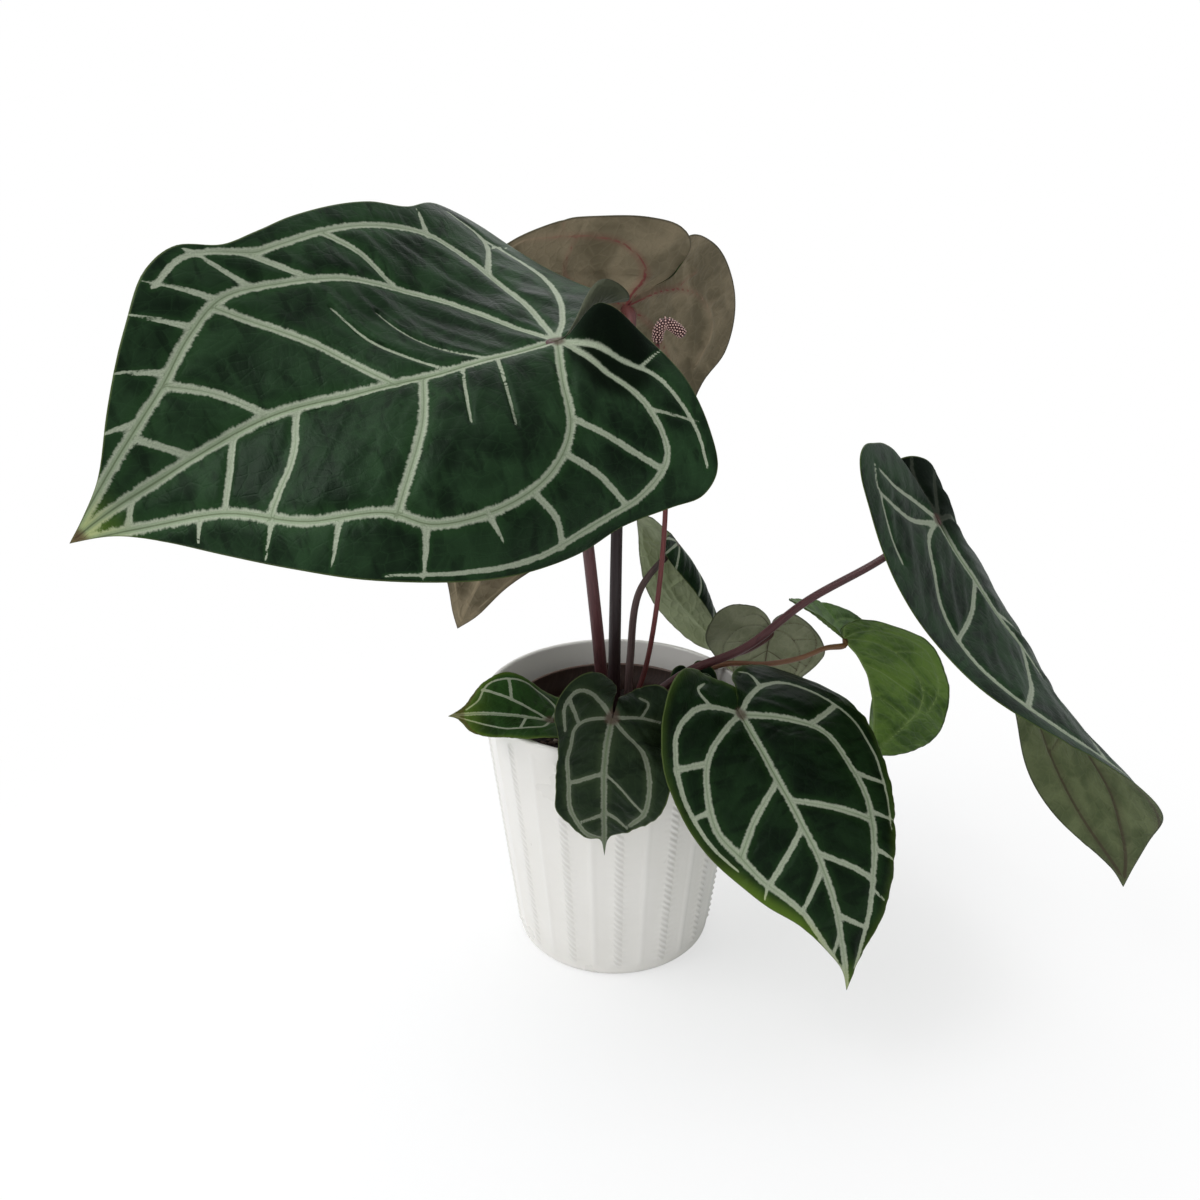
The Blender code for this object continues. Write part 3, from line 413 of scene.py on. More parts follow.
def angles_round(count):
    return np.linspace(0, 2 * math.pi, count, endpoint=False)


def station_value(values, s):
    """Smooth value between the leaf's four stations, constant beyond the ends."""
    st = np.array(STATIONS)
    v = np.array(values, float)
    s = np.clip(s, st[0], st[-1])
    slope = np.gradient(v, st)
    i = np.clip(np.searchsorted(st, s, side="right") - 1, 0, len(st) - 2)
    span = st[i + 1] - st[i]
    return hermite((s - st[i]) / span, span, v[i], v[i + 1], slope[i], slope[i + 1])


class LeafSurface:
    """Maps (along, across) in leaf lengths to a point of the bent blade."""

    def __init__(self, leaf):
        self.leaf = leaf
        self.length = leaf["length"]
        self.grid = np.linspace(-0.6, 1.15, 90)
        tangent = self.frame(self.grid)[0]
        step = (self.grid[1] - self.grid[0]) * self.length
        path = np.zeros((len(self.grid), 3))
        path[1:] = np.cumsum((tangent[1:] + tangent[:-1]) / 2 * step, axis=0)
        start = [np.interp(0, self.grid, path[:, k]) for k in range(3)]
        self.path = path - start + np.array(leaf["attach"])

    def angle(self, name, s):
        return np.radians(station_value(self.leaf[name], s))

    def frame(self, s):
        """Midrib direction, the direction to the leaf's left, and its upper normal."""
        h, p, r = (self.angle(name, s) for name in ("heading", "slope", "roll"))
        tangent = np.stack([np.cos(h) * np.cos(p), np.sin(h) * np.cos(p), -np.sin(p)], -1)
        level = np.stack([-np.sin(h), np.cos(h), np.zeros_like(h)], -1)
        across = level * np.cos(r)[..., None] + np.cross(tangent, level) * np.sin(r)[..., None]
        return tangent, across, np.cross(tangent, across)

    def point(self, s, t):
        s, t = np.asarray(s, float), np.asarray(t, float)
        _, across, normal = self.frame(s)
        centre = np.stack([np.interp(s, self.grid, self.path[:, k]) for k in range(3)], -1)
        is_left = t >= 0
        fold = np.where(is_left, self.angle("fold_left", s), self.angle("fold_right", s))
        curl = np.where(is_left, self.angle("curl_left", s), self.angle("curl_right", s)) / HALF_WIDTH
        curl = np.where(np.abs(curl) < 1e-4, 1e-4, curl)
        end = fold + curl * np.abs(t)
        out = (np.sin(end) - np.sin(fold)) / curl * np.where(is_left, 1.0, -1.0) * self.length
        up = (np.cos(fold) - np.cos(end)) / curl * self.length
        return centre + across * out[..., None] + normal * up[..., None]

    def normal(self, s, t):
        near = 0.004
        ds = self.point(s + near, t) - self.point(s - near, t)
        dt = self.point(s, t + near) - self.point(s, t - near)
        n = np.cross(ds, dt)
        return n / np.linalg.norm(n, axis=-1, keepdims=True)


def leaf_outline(leaf, per_side):
    """Outline from the tip round the left lobe to the sinus and back by the right lobe."""
    left = through([(1, 0)] + list(leaf["left"]) + [(0, 0)], 6)
    right = through([(1, 0)] + [(s, -t) for s, t in leaf["right"]] + [(0, 0)], 6)
    left, right = evenly(left, per_side + 1), evenly(right, per_side + 1)
    return np.vstack([left[:-1], right[::-1][:-1]])


# ---------------------------------------------------------------- mesh helpers
def build_mesh(name, verts, faces, vectors=None, under_from=None):
    """Object from plain arrays, with named point attributes; the underside's faces start at under_from."""
    mesh = bpy.data.meshes.new(name)
    mesh.from_pydata(np.asarray(verts, float).tolist(), [], faces)
    for key, values in (vectors or {}).items():
        layer = mesh.attributes.new(key, "FLOAT_VECTOR", "POINT")
        layer.data.foreach_set("vector", np.asarray(values, np.float32).ravel())
    mesh.polygons.foreach_set("use_smooth", [True] * len(mesh.polygons))
    if under_from is not None:
        index = [int(k >= under_from) for k in range(len(mesh.polygons))]
        mesh.polygons.foreach_set("material_index", index)
    obj = bpy.data.objects.new(name, mesh)
    bpy.context.collection.objects.link(obj)
    return obj


def fan(centre, first, count, flip=False):
    """Triangles from a centre to the ring of count points that starts at first."""
    edges = [(first + k, first + (k + 1) % count) for k in range(count)]
    return [(centre, b, a) if flip else (centre, a, b) for a, b in edges]


def ring_quads(first, count, gaps, flip=False):
    """Quads between rings of count points, one ring after another from first on."""
    ring = np.arange(count)
    after = (ring + 1) % count
    quads = []
    for a in range(first, first + gaps * count, count):
        b = a + count
        corners = [a + ring, a + after, b + after, b + ring]
        if flip:
            corners = corners[:1] + corners[:0:-1]
        quads += np.stack(corners, -1).tolist()
    return quads


def end_caps(total, count):
    """One face over the first ring of count points and one over the last."""
    return [tuple(range(count - 1, -1, -1)), tuple(range(total - count, total))]


def place_piece(obj, node, slot, *materials):
    """Give a finished piece its materials and let it stand for its CAD node."""
    for material in materials:
        obj.data.materials.append(material)
    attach(obj, "root")
    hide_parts(node)


def smooth_step(low, high, value):
    u = np.clip((value - low) / (high - low), 0, 1)
    return u * u * (3 - 2 * u)


def noise_at(points, scale, seed=0.0):
    """Perlin noise of every row of points, from about -1 to 1."""
    shift = Vector((seed, seed * 1.7, seed * 2.3))
    return np.array([noise.noise(Vector(p) * scale + shift) for p in points])


# ---------------------------------------------------------------- materials
def scaled(colour, factor):
    return tuple(c * factor for c in colour)


class Nodes:
    """Short way to add shader nodes to a tree and wire them."""

    def __init__(self, owner):
        owner.use_nodes = True
        self.tree = owner.node_tree

    def node(self, kind, inputs=(), **settings):
        made = self.tree.nodes.new(kind)
        for key, value in settings.items():
            setattr(made, key, value)
        for key, value in dict(inputs).items():
            self.feed(made.inputs[key], value)
        return made

    def feed(self, socket, value):
        if isinstance(value, bpy.types.NodeSocket):
            self.tree.links.new(value, socket)
        elif isinstance(value, (tuple, list)) and socket.type == "RGBA":
            socket.default_value = (*value, 1.0)
        else:
            socket.default_value = value

    def attribute(self, name):
        made = self.node("ShaderNodeAttribute", attribute_name=name)
        return made.outputs["Vector"]

    def position(self):
        return self.node("ShaderNodeNewGeometry").outputs["Position"]

    def split(self, vector):
        return self.node("ShaderNodeSeparateXYZ", {"Vector": vector}).outputs

    def length(self, vector):
        return self.node("ShaderNodeVectorMath", {0: vector}, operation="LENGTH").outputs["Value"]

    def math(self, operation, first, second=0.0):
        made = self.node("ShaderNodeMath", {0: first, 1: second}, operation=operation)
        return made.outputs[0]

    def plus(self, first, second):
        return self.math("ADD", first, second)

    def times(self, first, second):
        return self.math("MULTIPLY", first, second)

    def stretch(self, vector, scale):
        made = self.node("ShaderNodeVectorMath", {0: vector, 1: scale}, operation="MULTIPLY")
        return made.outputs[0]

    def noise(self, vector, scale, detail=3.0, distortion=0.0):
        made = self.node("ShaderNodeTexNoise", {"Vector": vector, "Scale": scale, "Detail": detail,
                                                "Distortion": distortion})
        return made.outputs["Fac"]

    def cells(self, vector, scale):
        """Distance to the border of the cells of a net."""
        made = self.node("ShaderNodeTexVoronoi", {"Vector": vector, "Scale": scale},
                         feature="DISTANCE_TO_EDGE")
        return made.outputs["Distance"]

    def step(self, value, low, high, start=0.0, end=1.0):
        made = self.node("ShaderNodeMapRange", {"Value": value, "From Min": low, "From Max": high,
                                                "To Min": start, "To Max": end},
                         interpolation_type="SMOOTHSTEP")
        return made.outputs["Result"]

    def mix(self, factor, first, second):
        made = self.node("ShaderNodeMix", data_type="RGBA")
        self.feed(made.inputs[0], factor)
        self.feed(made.inputs[6], first)
        self.feed(made.inputs[7], second)
        return made.outputs[2]

    def blend(self, share, first, second, output):
        """Blend of two shaders, sent to the tree's output."""
        made = self.node("ShaderNodeMixShader", {0: share, 1: first.outputs[0], 2: second.outputs[0]})
        self.tree.links.new(made.outputs[0], self.tree.nodes[output].inputs[0])


class Shade(Nodes):
    """A material with its shader; constants go straight on the shader's sockets."""

    def __init__(self, name, roughness, specular=0.5):
        self.material = bpy.data.materials.new(name)
        super().__init__(self.material)
        self.shader = self.tree.nodes["Principled BSDF"]
        self.shader.inputs["Roughness"].default_value = roughness
        self.shader.inputs["Specular IOR Level"].default_value = specular

    def bump(self, height, distance):
        made = self.node("ShaderNodeBump", {"Height": height, "Distance": distance})
        self.feed(self.shader.inputs["Normal"], made.outputs[0])

    def colour(self, value):
        self.feed(self.shader.inputs["Base Color"], value)

    def sheen(self, weight, roughness, tint):
        self.shader.inputs["Sheen Weight"].default_value = weight
        self.shader.inputs["Sheen Roughness"].default_value = roughness
        self.shader.inputs["Sheen Tint"].default_value = (*tint, 1.0)


VEIN_PALE = (0.36, 0.40, 0.30)
VEIN_WARM = (0.40, 0.45, 0.20)
FIELD_WARM = (0.075, 0.130, 0.014)      # fields and veins where a leaf is young or old


def upper_material(name, dark, light, glow, vein=VEIN_PALE, vein_share=0.92):
    """Velvety upper side: green fields, feathered pale veins with a darker line in the middle."""
    m = Shade(name, roughness=0.50, specular=0.13)
    m.shader.inputs["Specular Tint"].default_value = (0.60, 0.90, 0.62, 1.0)
    place = m.attribute("place")
    near, signed, along = m.split(m.attribute("vein"))
    shift, rank, edge = m.split(m.attribute("detail"))
    # shift above zero is young or old colour; below zero it is the painted shade of the funnel.
    tinted, painted_funnel_shade = m.step(shift, 0.0, 1.0), m.step(shift, 0.0, -1.0)
    grain = m.noise(place, 1700.0, 3.0)
    blotch = m.noise(place, 38.0, 4.0, 0.6)
    feather = near
    for frequency, share in ((260.0, 0.70), (1100.0, 0.75)):
        beside = m.node("ShaderNodeCombineXYZ", {0: m.times(along, frequency),
                                                 1: m.times(signed, 0.7)}).outputs[0]
        tooth = m.math("SUBTRACT", m.noise(beside, 1.0, 2.0), 0.5)
        feather = m.plus(feather, m.times(tooth, share))
    feather = m.plus(feather, m.times(m.math("SUBTRACT", grain, 0.5), 0.6))
    band = m.step(feather, 1.16, 0.66)
    centre = m.step(m.math("ABSOLUTE", signed), 0.20, 0.06)
    centre = m.times(m.times(centre, m.step(near, 0.9, 0.6)), rank)
    net = m.cells(m.stretch(place, (1.0, 1.6, 1.0)), 120.0)
    pleat = m.noise(m.stretch(place, (1.0, 0.35, 1.0)), 150.0, 3.0, 0.4)
    field = m.mix(m.step(blotch, 0.28, 0.74), dark, light)
    field = m.mix(m.step(near, 3.2, 0.8, 0.0, 0.75), field, glow)
    # Painted shade in the hollows of the pleats, the same noise that drives the bump.
    field = m.mix(m.step(pleat, 0.50, 0.34, 0.0, 0.60), field, scaled(dark, 0.5))
    field = m.mix(m.step(net, 0.05, 0.0, 0.0, 0.10), field, scaled(light, 2.2))
    field = m.mix(tinted, field, FIELD_WARM)
    shade = m.mix(m.step(grain, 0.30, 0.75), scaled(vein, 0.78), scaled(vein, 1.12))
    warm_vein = m.mix(tinted, shade, VEIN_WARM)
    warm_vein = m.mix(m.times(m.step(near, 0.62, 0.30, 0.0, 0.55), rank), warm_vein,
                      tuple(c * s for c, s in zip(vein, (0.55, 0.68, 0.50))))
    painted = m.mix(m.times(band, vein_share), field, warm_vein)
    painted = m.mix(m.times(centre, 0.75), painted, (0.095, 0.125, 0.065))
    painted = m.mix(m.step(tinted, 0.93, 1.0, 0.0, 0.8), painted, (0.085, 0.030, 0.018))
    # Painted shade: the funnel between the lobes turns near black.
    painted = m.mix(m.times(painted_funnel_shade, 0.9), painted, (0.0006, 0.0012, 0.0006))
    painted = m.mix(m.step(edge, 0.0009, 0.0002, 0.0, 0.55), painted, (0.10, 0.13, 0.04))
    from_stalk = m.length(m.stretch(place, (1.0, 1.0, 0.0)))
    m.colour(m.mix(m.step(from_stalk, 0.0050, 0.0022, 0.0, 0.75), painted, (0.075, 0.040, 0.034)))
    m.sheen(0.02, 0.35, (0.50, 0.80, 0.55))
    m.feed(m.shader.inputs["Roughness"], m.plus(m.step(blotch, 0.2, 0.8, 0.38, 0.52),
                                                m.times(painted_funnel_shade, 0.5)))
    height = m.plus(m.times(grain, 0.3), m.times(m.step(net, 0.0, 0.12), 0.2))
    m.bump(m.plus(m.times(height, 0.4), pleat), 0.0009)
    return m.material


def under_material(name, base, shade, vein, fade=None):
    """Matte underside: raised veins in their own colour, fading away from the stalk, and a fine net."""
    m = Shade(name, roughness=0.60, specular=0.14)
    place = m.attribute("place")
    near = m.split(m.attribute("vein"))[0]
    from_stalk = m.length(m.stretch(place, (1.0, 1.0, 0.0)))
    blotch = m.noise(place, 40.0, 4.0, 0.8)
    grain = m.noise(place, 1500.0, 2.0)
    net = m.cells(m.stretch(place, (1.0, 1.6, 1.0)), 120.0)
    fine = m.cells(place, 420.0)
    field = m.mix(m.step(blotch, 0.36, 0.66), base, shade)
    field = m.mix(m.step(net, 0.09, 0.0, 0.0, 0.14), field, scaled(base, 1.35))
    field = m.mix(m.step(fine, 0.05, 0.0, 0.0, 0.18), field, scaled(shade, 0.7))
    rib = m.step(near, 0.55, 0.25)
    edge = m.split(m.attribute("detail"))[2]
    if fade:
        vein = m.mix(m.step(from_stalk, *fade), vein, scaled(base, 1.3))
    field = m.mix(m.step(near, 2.2, 0.6, 0.0, 0.25), field, vein)
    painted = m.mix(m.times(rib, 0.9), field, vein)
    m.colour(m.mix(m.step(edge, 0.0014, 0.0004, 0.0, 0.6), painted, scaled(shade, 0.3)))
    m.sheen(0.03, 0.5, (0.8, 0.85, 0.75))
    creases = m.times(m.step(net, 0.0, 0.2), 0.8)
    height = m.math("SUBTRACT", m.times(grain, 0.3), creases)
    m.bump(height, 0.0003)
    return m.material


# ---------------------------------------------------------------- leaf blades
def distance_to(line, s, t):
    """Distance of points to a line, which side they are on, and how far along it they lie."""
    start, step = line[:-1], np.diff(line, axis=0)
    size = np.maximum(np.linalg.norm(step, axis=1), 1e-9)
    ds, dt = s[:, None] - start[:, 0], t[:, None] - start[:, 1]
    u = np.clip((ds * step[:, 0] + dt * step[:, 1]) / size ** 2, 0, 1)
    away = np.hypot(ds - u * step[:, 0], dt - u * step[:, 1])
    best = away.argmin(axis=1)
    rows = np.arange(len(s))
    cross = step[best, 0] * dt[rows, best] - step[best, 1] * ds[rows, best]
    before = np.concatenate([[0], np.cumsum(size)])
    along = before[best] + u[rows, best] * size[best]
    return away[rows, best], np.sign(cross), along, before[-1]


def vein_field(name, bands, s, t):
    """For each point: nearness to a vein in half widths, the same signed, place along it, and its rank."""
    table = VEINS.get(name, PLAIN_SIDES)
    near, signed = np.full(len(s), 8.0), np.full(len(s), 8.0)
    along, rank, merged = np.zeros(len(s)), np.zeros(len(s)), np.full(len(s), 1e-12)
    count = 0
    for side, sign in (("midrib", 1), ("left", 1), ("right", -1)):
        for start, end, points in table[side]:
            line = through([(a, sign * b) for a, b in points], 8)
            lo, hi = line.min(0) - 0.09, line.max(0) + 0.09
            rows = np.flatnonzero((s > lo[0]) & (s < hi[0]) & (t > lo[1]) & (t < hi[1]))
            if len(rows) == 0:
                continue
            away, which, place, total = distance_to(line, s[rows], t[rows])
            width = (start + (end - start) * place / total) * bands
            ratio = away / width
            merged[rows] += np.exp(-5 * ratio)
            closer = ratio < near[rows]
            rows, which, place, width, ratio = (v[closer] for v in (rows, which, place, width, ratio))
            near[rows] = ratio
            signed[rows] = ratio * which
            along[rows] = place + 3.7 * count
            rank[rows] = smooth_step(NARROW * 0.7, WIDE, width / bands)
            count += 1
    blended = np.clip(-np.log(merged) / 5, 0, 8)
    return np.minimum(near, blended), signed, along, rank


def no_tint(s, t, edge):
    return np.zeros_like(s)


FLAT = (0.0, 0.1, 0.0)          # an inner edge that isn't turned up
HUB = np.array([0.25, 0.0])     # where a blade's rings are centred, on the midrib
TRIM = 0.994                    # the blades end just inside the CAD outline
FURROW = 0.00135                # depth of the main veins' middle line, in leaf lengths
RIB = 0.0060                    # scale of the ribs under the blade, in leaf lengths
OUTERMOST = ("leaf_large", "leaf_back", "leaf_right")   # their margins stay within the CAD's box


class Look:
    """What one leaf adds to its CAD form; heights and widths in leaf lengths."""

    def __init__(self, across, rings, quilt, wave=0.006, sinus=(FLAT, FLAT), lap=0.0, bands=1.0,
                 tint=no_tint, roll=None, deep=None, veins_spared_by_painted_shade=True):
        self.across = across      # outline points a side
        self.rings = rings
        self.quilt = quilt        # height of the fields between veins
        self.wave = wave          # height of the margin's waves
        self.sinus = sinus        # (height, width, share lost behind) of each turned-up inner edge
        self.lap = lap            # how far the left lobe slides over the right one
        self.bands = bands        # how broad the vein bands are against the table's widths
        self.tint = tint          # share of young or old colour, as a function of (s, t, edge)
        self.roll = roll          # (width, turn) of the right lobe's inner edge rolled over on itself
        self.deep = deep          # (s, t, reach) of the painted shade that darkens the funnel between the lobes to near black
        self.veins_spared_by_painted_shade = veins_spared_by_painted_shade            # whether veins stay pale in the painted funnel shade


def tip_tint(s, t, edge):
    return smooth_step(0.84, 0.995, s)


def margin_tint(s, t, edge):
    """Young yellow-green along the leaf's right margin and at the tip."""
    side = smooth_step(0.075, 0.0, edge) * smooth_step(0.0, -0.12, t) * smooth_step(0.30, 0.60, s)
    rim = 0.35 * smooth_step(0.05, 0.0, edge)
    return np.maximum(np.maximum(side * 0.8, rim), smooth_step(0.85, 1.0, s) * 0.7)


def young_tint(s, t, edge):
    return np.clip(0.12 + smooth_step(0.5, 1.0, s) + 0.5 * smooth_step(0.06, 0.0, edge), 0, 0.9)


LOOKS = {
    "leaf_large": Look(250, 96, quilt=0.0078, wave=0.010, tint=tip_tint, roll=(0.115, 3.1),
                       deep=(-0.085, 0.085, 0.12), sinus=((0.085, 0.11, 0.75), FLAT)),
    "leaf_back": Look(160, 54, quilt=0.0110, wave=0.010, lap=0.07),
    "leaf_right": Look(190, 66, quilt=0.0065, wave=0.006, lap=0.055, deep=(-0.11, 0.08, 0.24),
                       veins_spared_by_painted_shade=False),
    "leaf_front_right": Look(200, 72, quilt=0.0070, wave=0.006, bands=1.55, tint=margin_tint,
                             sinus=((0.06, 0.09, 0.5), (0.06, 0.09, 0.5))),
    "leaf_front": Look(130, 46, quilt=0.0130, wave=0.022, bands=2.0,
                       sinus=((0.08, 0.14, 0.5), (0.08, 0.14, 0.5))),
    "leaf_left": Look(130, 44, quilt=0.0080, wave=0.006, bands=2.1, tint=young_tint),
    "leaf_folded": Look(120, 42, quilt=0.0060, bands=1.3),
    "leaf_pale": Look(120, 40, quilt=0.0060, wave=0.010),
    "leaf_new": Look(130, 44, quilt=0.0060, wave=0.008),
    "leaf_shaded": Look(100, 36, quilt=0.0100, wave=0.040),
}


def blade_relief(name, look, s, t, share, near):
    """Quilting between the veins, folds across them, margin waves and the lobes' turned-up inner edges."""
    points = np.stack([s, t, np.zeros_like(s)], -1)
    height = look.quilt * (1 - np.exp(-(near / 2.2) ** 2))
    along, across = s * 0.80 - np.abs(t) * 0.60, s * 0.60 + np.abs(t) * 0.80
    folds = noise_at(np.stack([along * 24, across * 5, np.sign(t)], -1), 1.0, 3.1)
    folds += 0.5 * noise_at(np.stack([along * 52, across * 11, np.sign(t)], -1), 1.0, 7.7)
    height += look.quilt * 0.8 * folds * smooth_step(0.5, 2.5, near)
    height += look.quilt * 1.2 * noise_at(points, 6.5, 8.2)
    height += look.wave * share ** 4 * noise_at(points, 6.0, len(name))
    if name in OUTERMOST:
        height -= share ** 6 * np.maximum(height, 0)
    for sign, (turn, width, fall) in zip((1, -1), look.sinus):
        beside = smooth_step(-0.01, -0.09, s) * (1 - fall * smooth_step(-0.10, -0.20, s))
        beside = beside * np.clip(1 - t * sign / width, 0, 1) ** 1.4
        height += np.where(t * sign > 0, turn * beside, 0)
    return height


def rolled_edge(roll, s, t):
    """The right lobe's inner edge rolled up like a cone: shift to the midrib, height and angle turned."""
    width = roll[0] * smooth_step(0.0, -0.16, s) + 1e-6
    share = np.clip(1 + t / width, 0, 1) * (t <= 0) * (s < -0.004)
    radius, turned = width / roll[1], share * roll[1]
    return radius * np.sin(turned) - share * width, radius * (1 - np.cos(turned)), turned


def make_blade(name, upper, under, slot):
    """Rings of points from the hub to the outline, bent, given relief and closed by an underside."""
    leaf, look = LEAVES[name], LOOKS[name]
    surface = LeafSurface(leaf)
    outline = HUB + (leaf_outline(leaf, look.across) - HUB) * TRIM
    shares = np.concatenate([[0], (np.arange(1, look.rings + 1) / look.rings) ** 0.9])
    count = len(outline)
    share = np.concatenate([[0], np.repeat(shares[1:], count)])
    rim = np.vstack([outline[:1], np.tile(outline, (look.rings, 1))])
    flat = HUB + (rim - HUB) * share[:, None]
    edge = np.linalg.norm(rim - flat, axis=1)
    s, t = flat[:, 0], flat[:, 1]
    near, signed, along, rank = vein_field(name, look.bands, s, t)
    length = leaf["length"]
    lift = blade_relief(name, look, s, t, share, near) * length
    slide = look.lap * smooth_step(0.0, -0.14, s) * np.clip(1 - t / 0.25, 0, 1) * (t > 0)
    turned = np.zeros_like(s)
    if look.roll:
        over, up, turned = rolled_edge(look.roll, s, t)
        slide, lift = slide - over, lift + up * length
    points, normals = surface.point(s, t - slide), surface.normal(s, t - slide)
    lift -= np.maximum(slide, 0) * length * 0.35 * (t > 0)
    furrow = FURROW * length * np.exp(-(signed / 0.35) ** 2) * rank
    rib = RIB * length * np.exp(-(near / 0.55) ** 2) * (0.35 + rank)
    thin = BLADE * (1 - 0.55 * share ** 8)
    across = surface.point(s, t - slide + 0.002) - points
    across /= np.linalg.norm(across, axis=1, keepdims=True)
    facing = normals * np.cos(turned)[:, None] - across * np.sin(turned)[:, None]
    middle = points + normals * lift[:, None]
    upper_side = middle + facing * (thin / 2 - furrow)[:, None]
    under_side = middle - facing * (thin / 2 + rib * (1 - share ** 10))[:, None]
    size = len(flat)
    quads = ring_quads(1, count, look.rings - 1, flip=True)
    last = 1 + (look.rings - 1) * count
    margin = [(last + k, last + (k + 1) % count) for k in range(count)]
    faces = fan(0, 1, count) + quads + [(a, size + a, size + b, b) for a, b in margin]
    under_from = len(faces)
    faces += fan(size, size + 1, count, flip=True)
    faces += (np.array(quads)[:, ::-1] + size).tolist()
    tinted = look.tint(s, t, edge)
    # Painted shade: a negative tint darkens the funnel between the lobes towards near black.
    if look.deep:
        painted_funnel_shade = smooth_step(1.0, 0.45, np.hypot(s - look.deep[0], t - look.deep[1]) / look.deep[2]) * (t > 0)
        tinted = tinted - painted_funnel_shade * (smooth_step(0.0, 1.6, near) if look.veins_spared_by_painted_shade else 1.0)
    place = np.stack([s * length, t * length, np.full(size, 0.01 * len(name))], -1)
    vectors = {
        "place": np.vstack([place, place]),
        "vein": np.tile(np.stack([near, signed, along * length], -1), (2, 1)),
        "detail": np.tile(np.stack([tinted, rank, edge * length], -1), (2, 1)),
    }
    blade = build_mesh(name + "_blade", np.vstack([upper_side, under_side]), faces, vectors, under_from)
    place_piece(blade, name, slot, upper, under)


def make_leaves():
    velvet = upper_material("velvet_green", (0.0024, 0.0072, 0.0028), (0.0150, 0.0380, 0.0145),
                            glow=(0.0130, 0.0390, 0.0110))
    deep = upper_material("velvet_deep", (0.0013, 0.0042, 0.0014), (0.0070, 0.0200, 0.0060),
                          glow=(0.0090, 0.0270, 0.0060))
    bright = upper_material("velvet_bright", (0.006, 0.020, 0.004), (0.020, 0.060, 0.012),
                            glow=(0.018, 0.055, 0.010))
    grey = upper_material("velvet_grey", (0.006, 0.011, 0.005), (0.017, 0.028, 0.012),
                          glow=(0.030, 0.044, 0.020), vein=(0.22, 0.24, 0.18), vein_share=0.8)
    fresh = upper_material("fresh_green", (0.050, 0.105, 0.018), (0.085, 0.160, 0.030),
                           glow=(0.07, 0.14, 0.03), vein=(0.16, 0.26, 0.07), vein_share=0.6)
    olive = under_material("under_olive", (0.125, 0.150, 0.070), (0.070, 0.090, 0.038),
                           (0.055, 0.045, 0.025))
    dusky = under_material("under_dusky", (0.080, 0.088, 0.055), (0.046, 0.052, 0.030),
                           (0.050, 0.036, 0.022))
    rusty = under_material("under_rusty", (0.225, 0.185, 0.118), (0.120, 0.100, 0.060),
                           (0.16, 0.035, 0.034), fade=(0.030, 0.085))
    sage = under_material("under_sage", (0.25, 0.29, 0.165), (0.17, 0.20, 0.10), (0.20, 0.24, 0.12))
    dull = under_material("under_dull", (0.265, 0.280, 0.180), (0.180, 0.195, 0.115), (0.070, 0.055, 0.035))
    lime = under_material("under_lime", (0.100, 0.180, 0.026), (0.032, 0.072, 0.008), (0.16, 0.24, 0.065))
    sides = {
        "leaf_large": (velvet, dusky), "leaf_back": (velvet, rusty), "leaf_right": (velvet, olive),
        "leaf_front_right": (deep, olive), "leaf_front": (grey, olive), "leaf_left": (bright, lime),
        "leaf_folded": (velvet, sage), "leaf_pale": (grey, dull), "leaf_new": (fresh, lime),
        "leaf_shaded": (velvet, olive)}
    slots = {"leaf_back": "leaf_underside", "leaf_new": "new_leaf_green"}
    for name, (upper, under) in sides.items():
        make_blade(name, upper, under, slots.get(name, "velvet_green"))


# ---------------------------------------------------------------- stalks and flower
def rising(foot, foot_z, via, per_span=12):
    """Path that leaves its foot straight up, then runs smoothly through the points."""
    x, y = foot
    return np.vstack([(x, y, foot_z), through([(x, y, foot_z + 0.004)] + via, per_span)])


def tube(name, path, radii, sides):
    """Closed tube with flat ends."""
    tangents, lengths = directions_along(path), distances_along(path)
    side = np.cross(tangents[0], (0.3, 1.0, 0.2))
    around = angles_round(sides)
    verts, place = [], []
    for centre, tangent, radius, along in zip(path, tangents, radii, lengths):
        side = side - tangent * np.dot(side, tangent)
        side /= np.linalg.norm(side)
        other = np.cross(tangent, side)
        verts.append(centre + radius * (np.cos(around)[:, None] * side + np.sin(around)[:, None] * other))
        place.append(np.stack([np.cos(around) * radius, np.sin(around) * radius,
                               np.full(sides, along)], -1))
    share = [np.full((sides, 3), a / lengths[-1]) for a in lengths]
    verts, place, share = np.vstack(verts), np.vstack(place), np.vstack(share)
    faces = ring_quads(0, sides, len(path) - 1) + end_caps(len(verts), sides)
    return build_mesh(name, verts, faces, {"place": place, "share": share})


def stalk_material(name, foot, middle, top):
    """Satin skin with fine lengthwise lines, changing colour from foot to top."""
    m = Shade(name, roughness=0.42, specular=0.45)
    place = m.attribute("place")
    share = m.split(m.attribute("share"))[0]
    lines = m.noise(m.stretch(place, (1.0, 1.0, 0.03)), 2600.0, 2.0)
    mottle = m.noise(m.stretch(place, (1.0, 1.0, 0.25)), 420.0, 4.0)
    skin = m.mix(m.step(share, 0.0, 0.35), foot, middle)
    skin = m.mix(m.step(share, 0.55, 1.0), skin, top)
    skin = m.mix(m.step(lines, 0.35, 0.75, 0.0, 0.45), skin, tuple(c * 2.0 + 0.01 for c in middle))
    skin = m.mix(m.step(mottle, 0.58, 0.72, 0.0, 0.5), skin, scaled(foot, 0.45))
    m.colour(skin)
    m.bump(m.plus(lines, m.times(mottle, 0.5)), 0.00025)
    return m.material


CROWN_SEAT, MIX_SEAT = CROWN_TOP - 0.004, MIX_TOP - 0.003   # heights at which stalks start


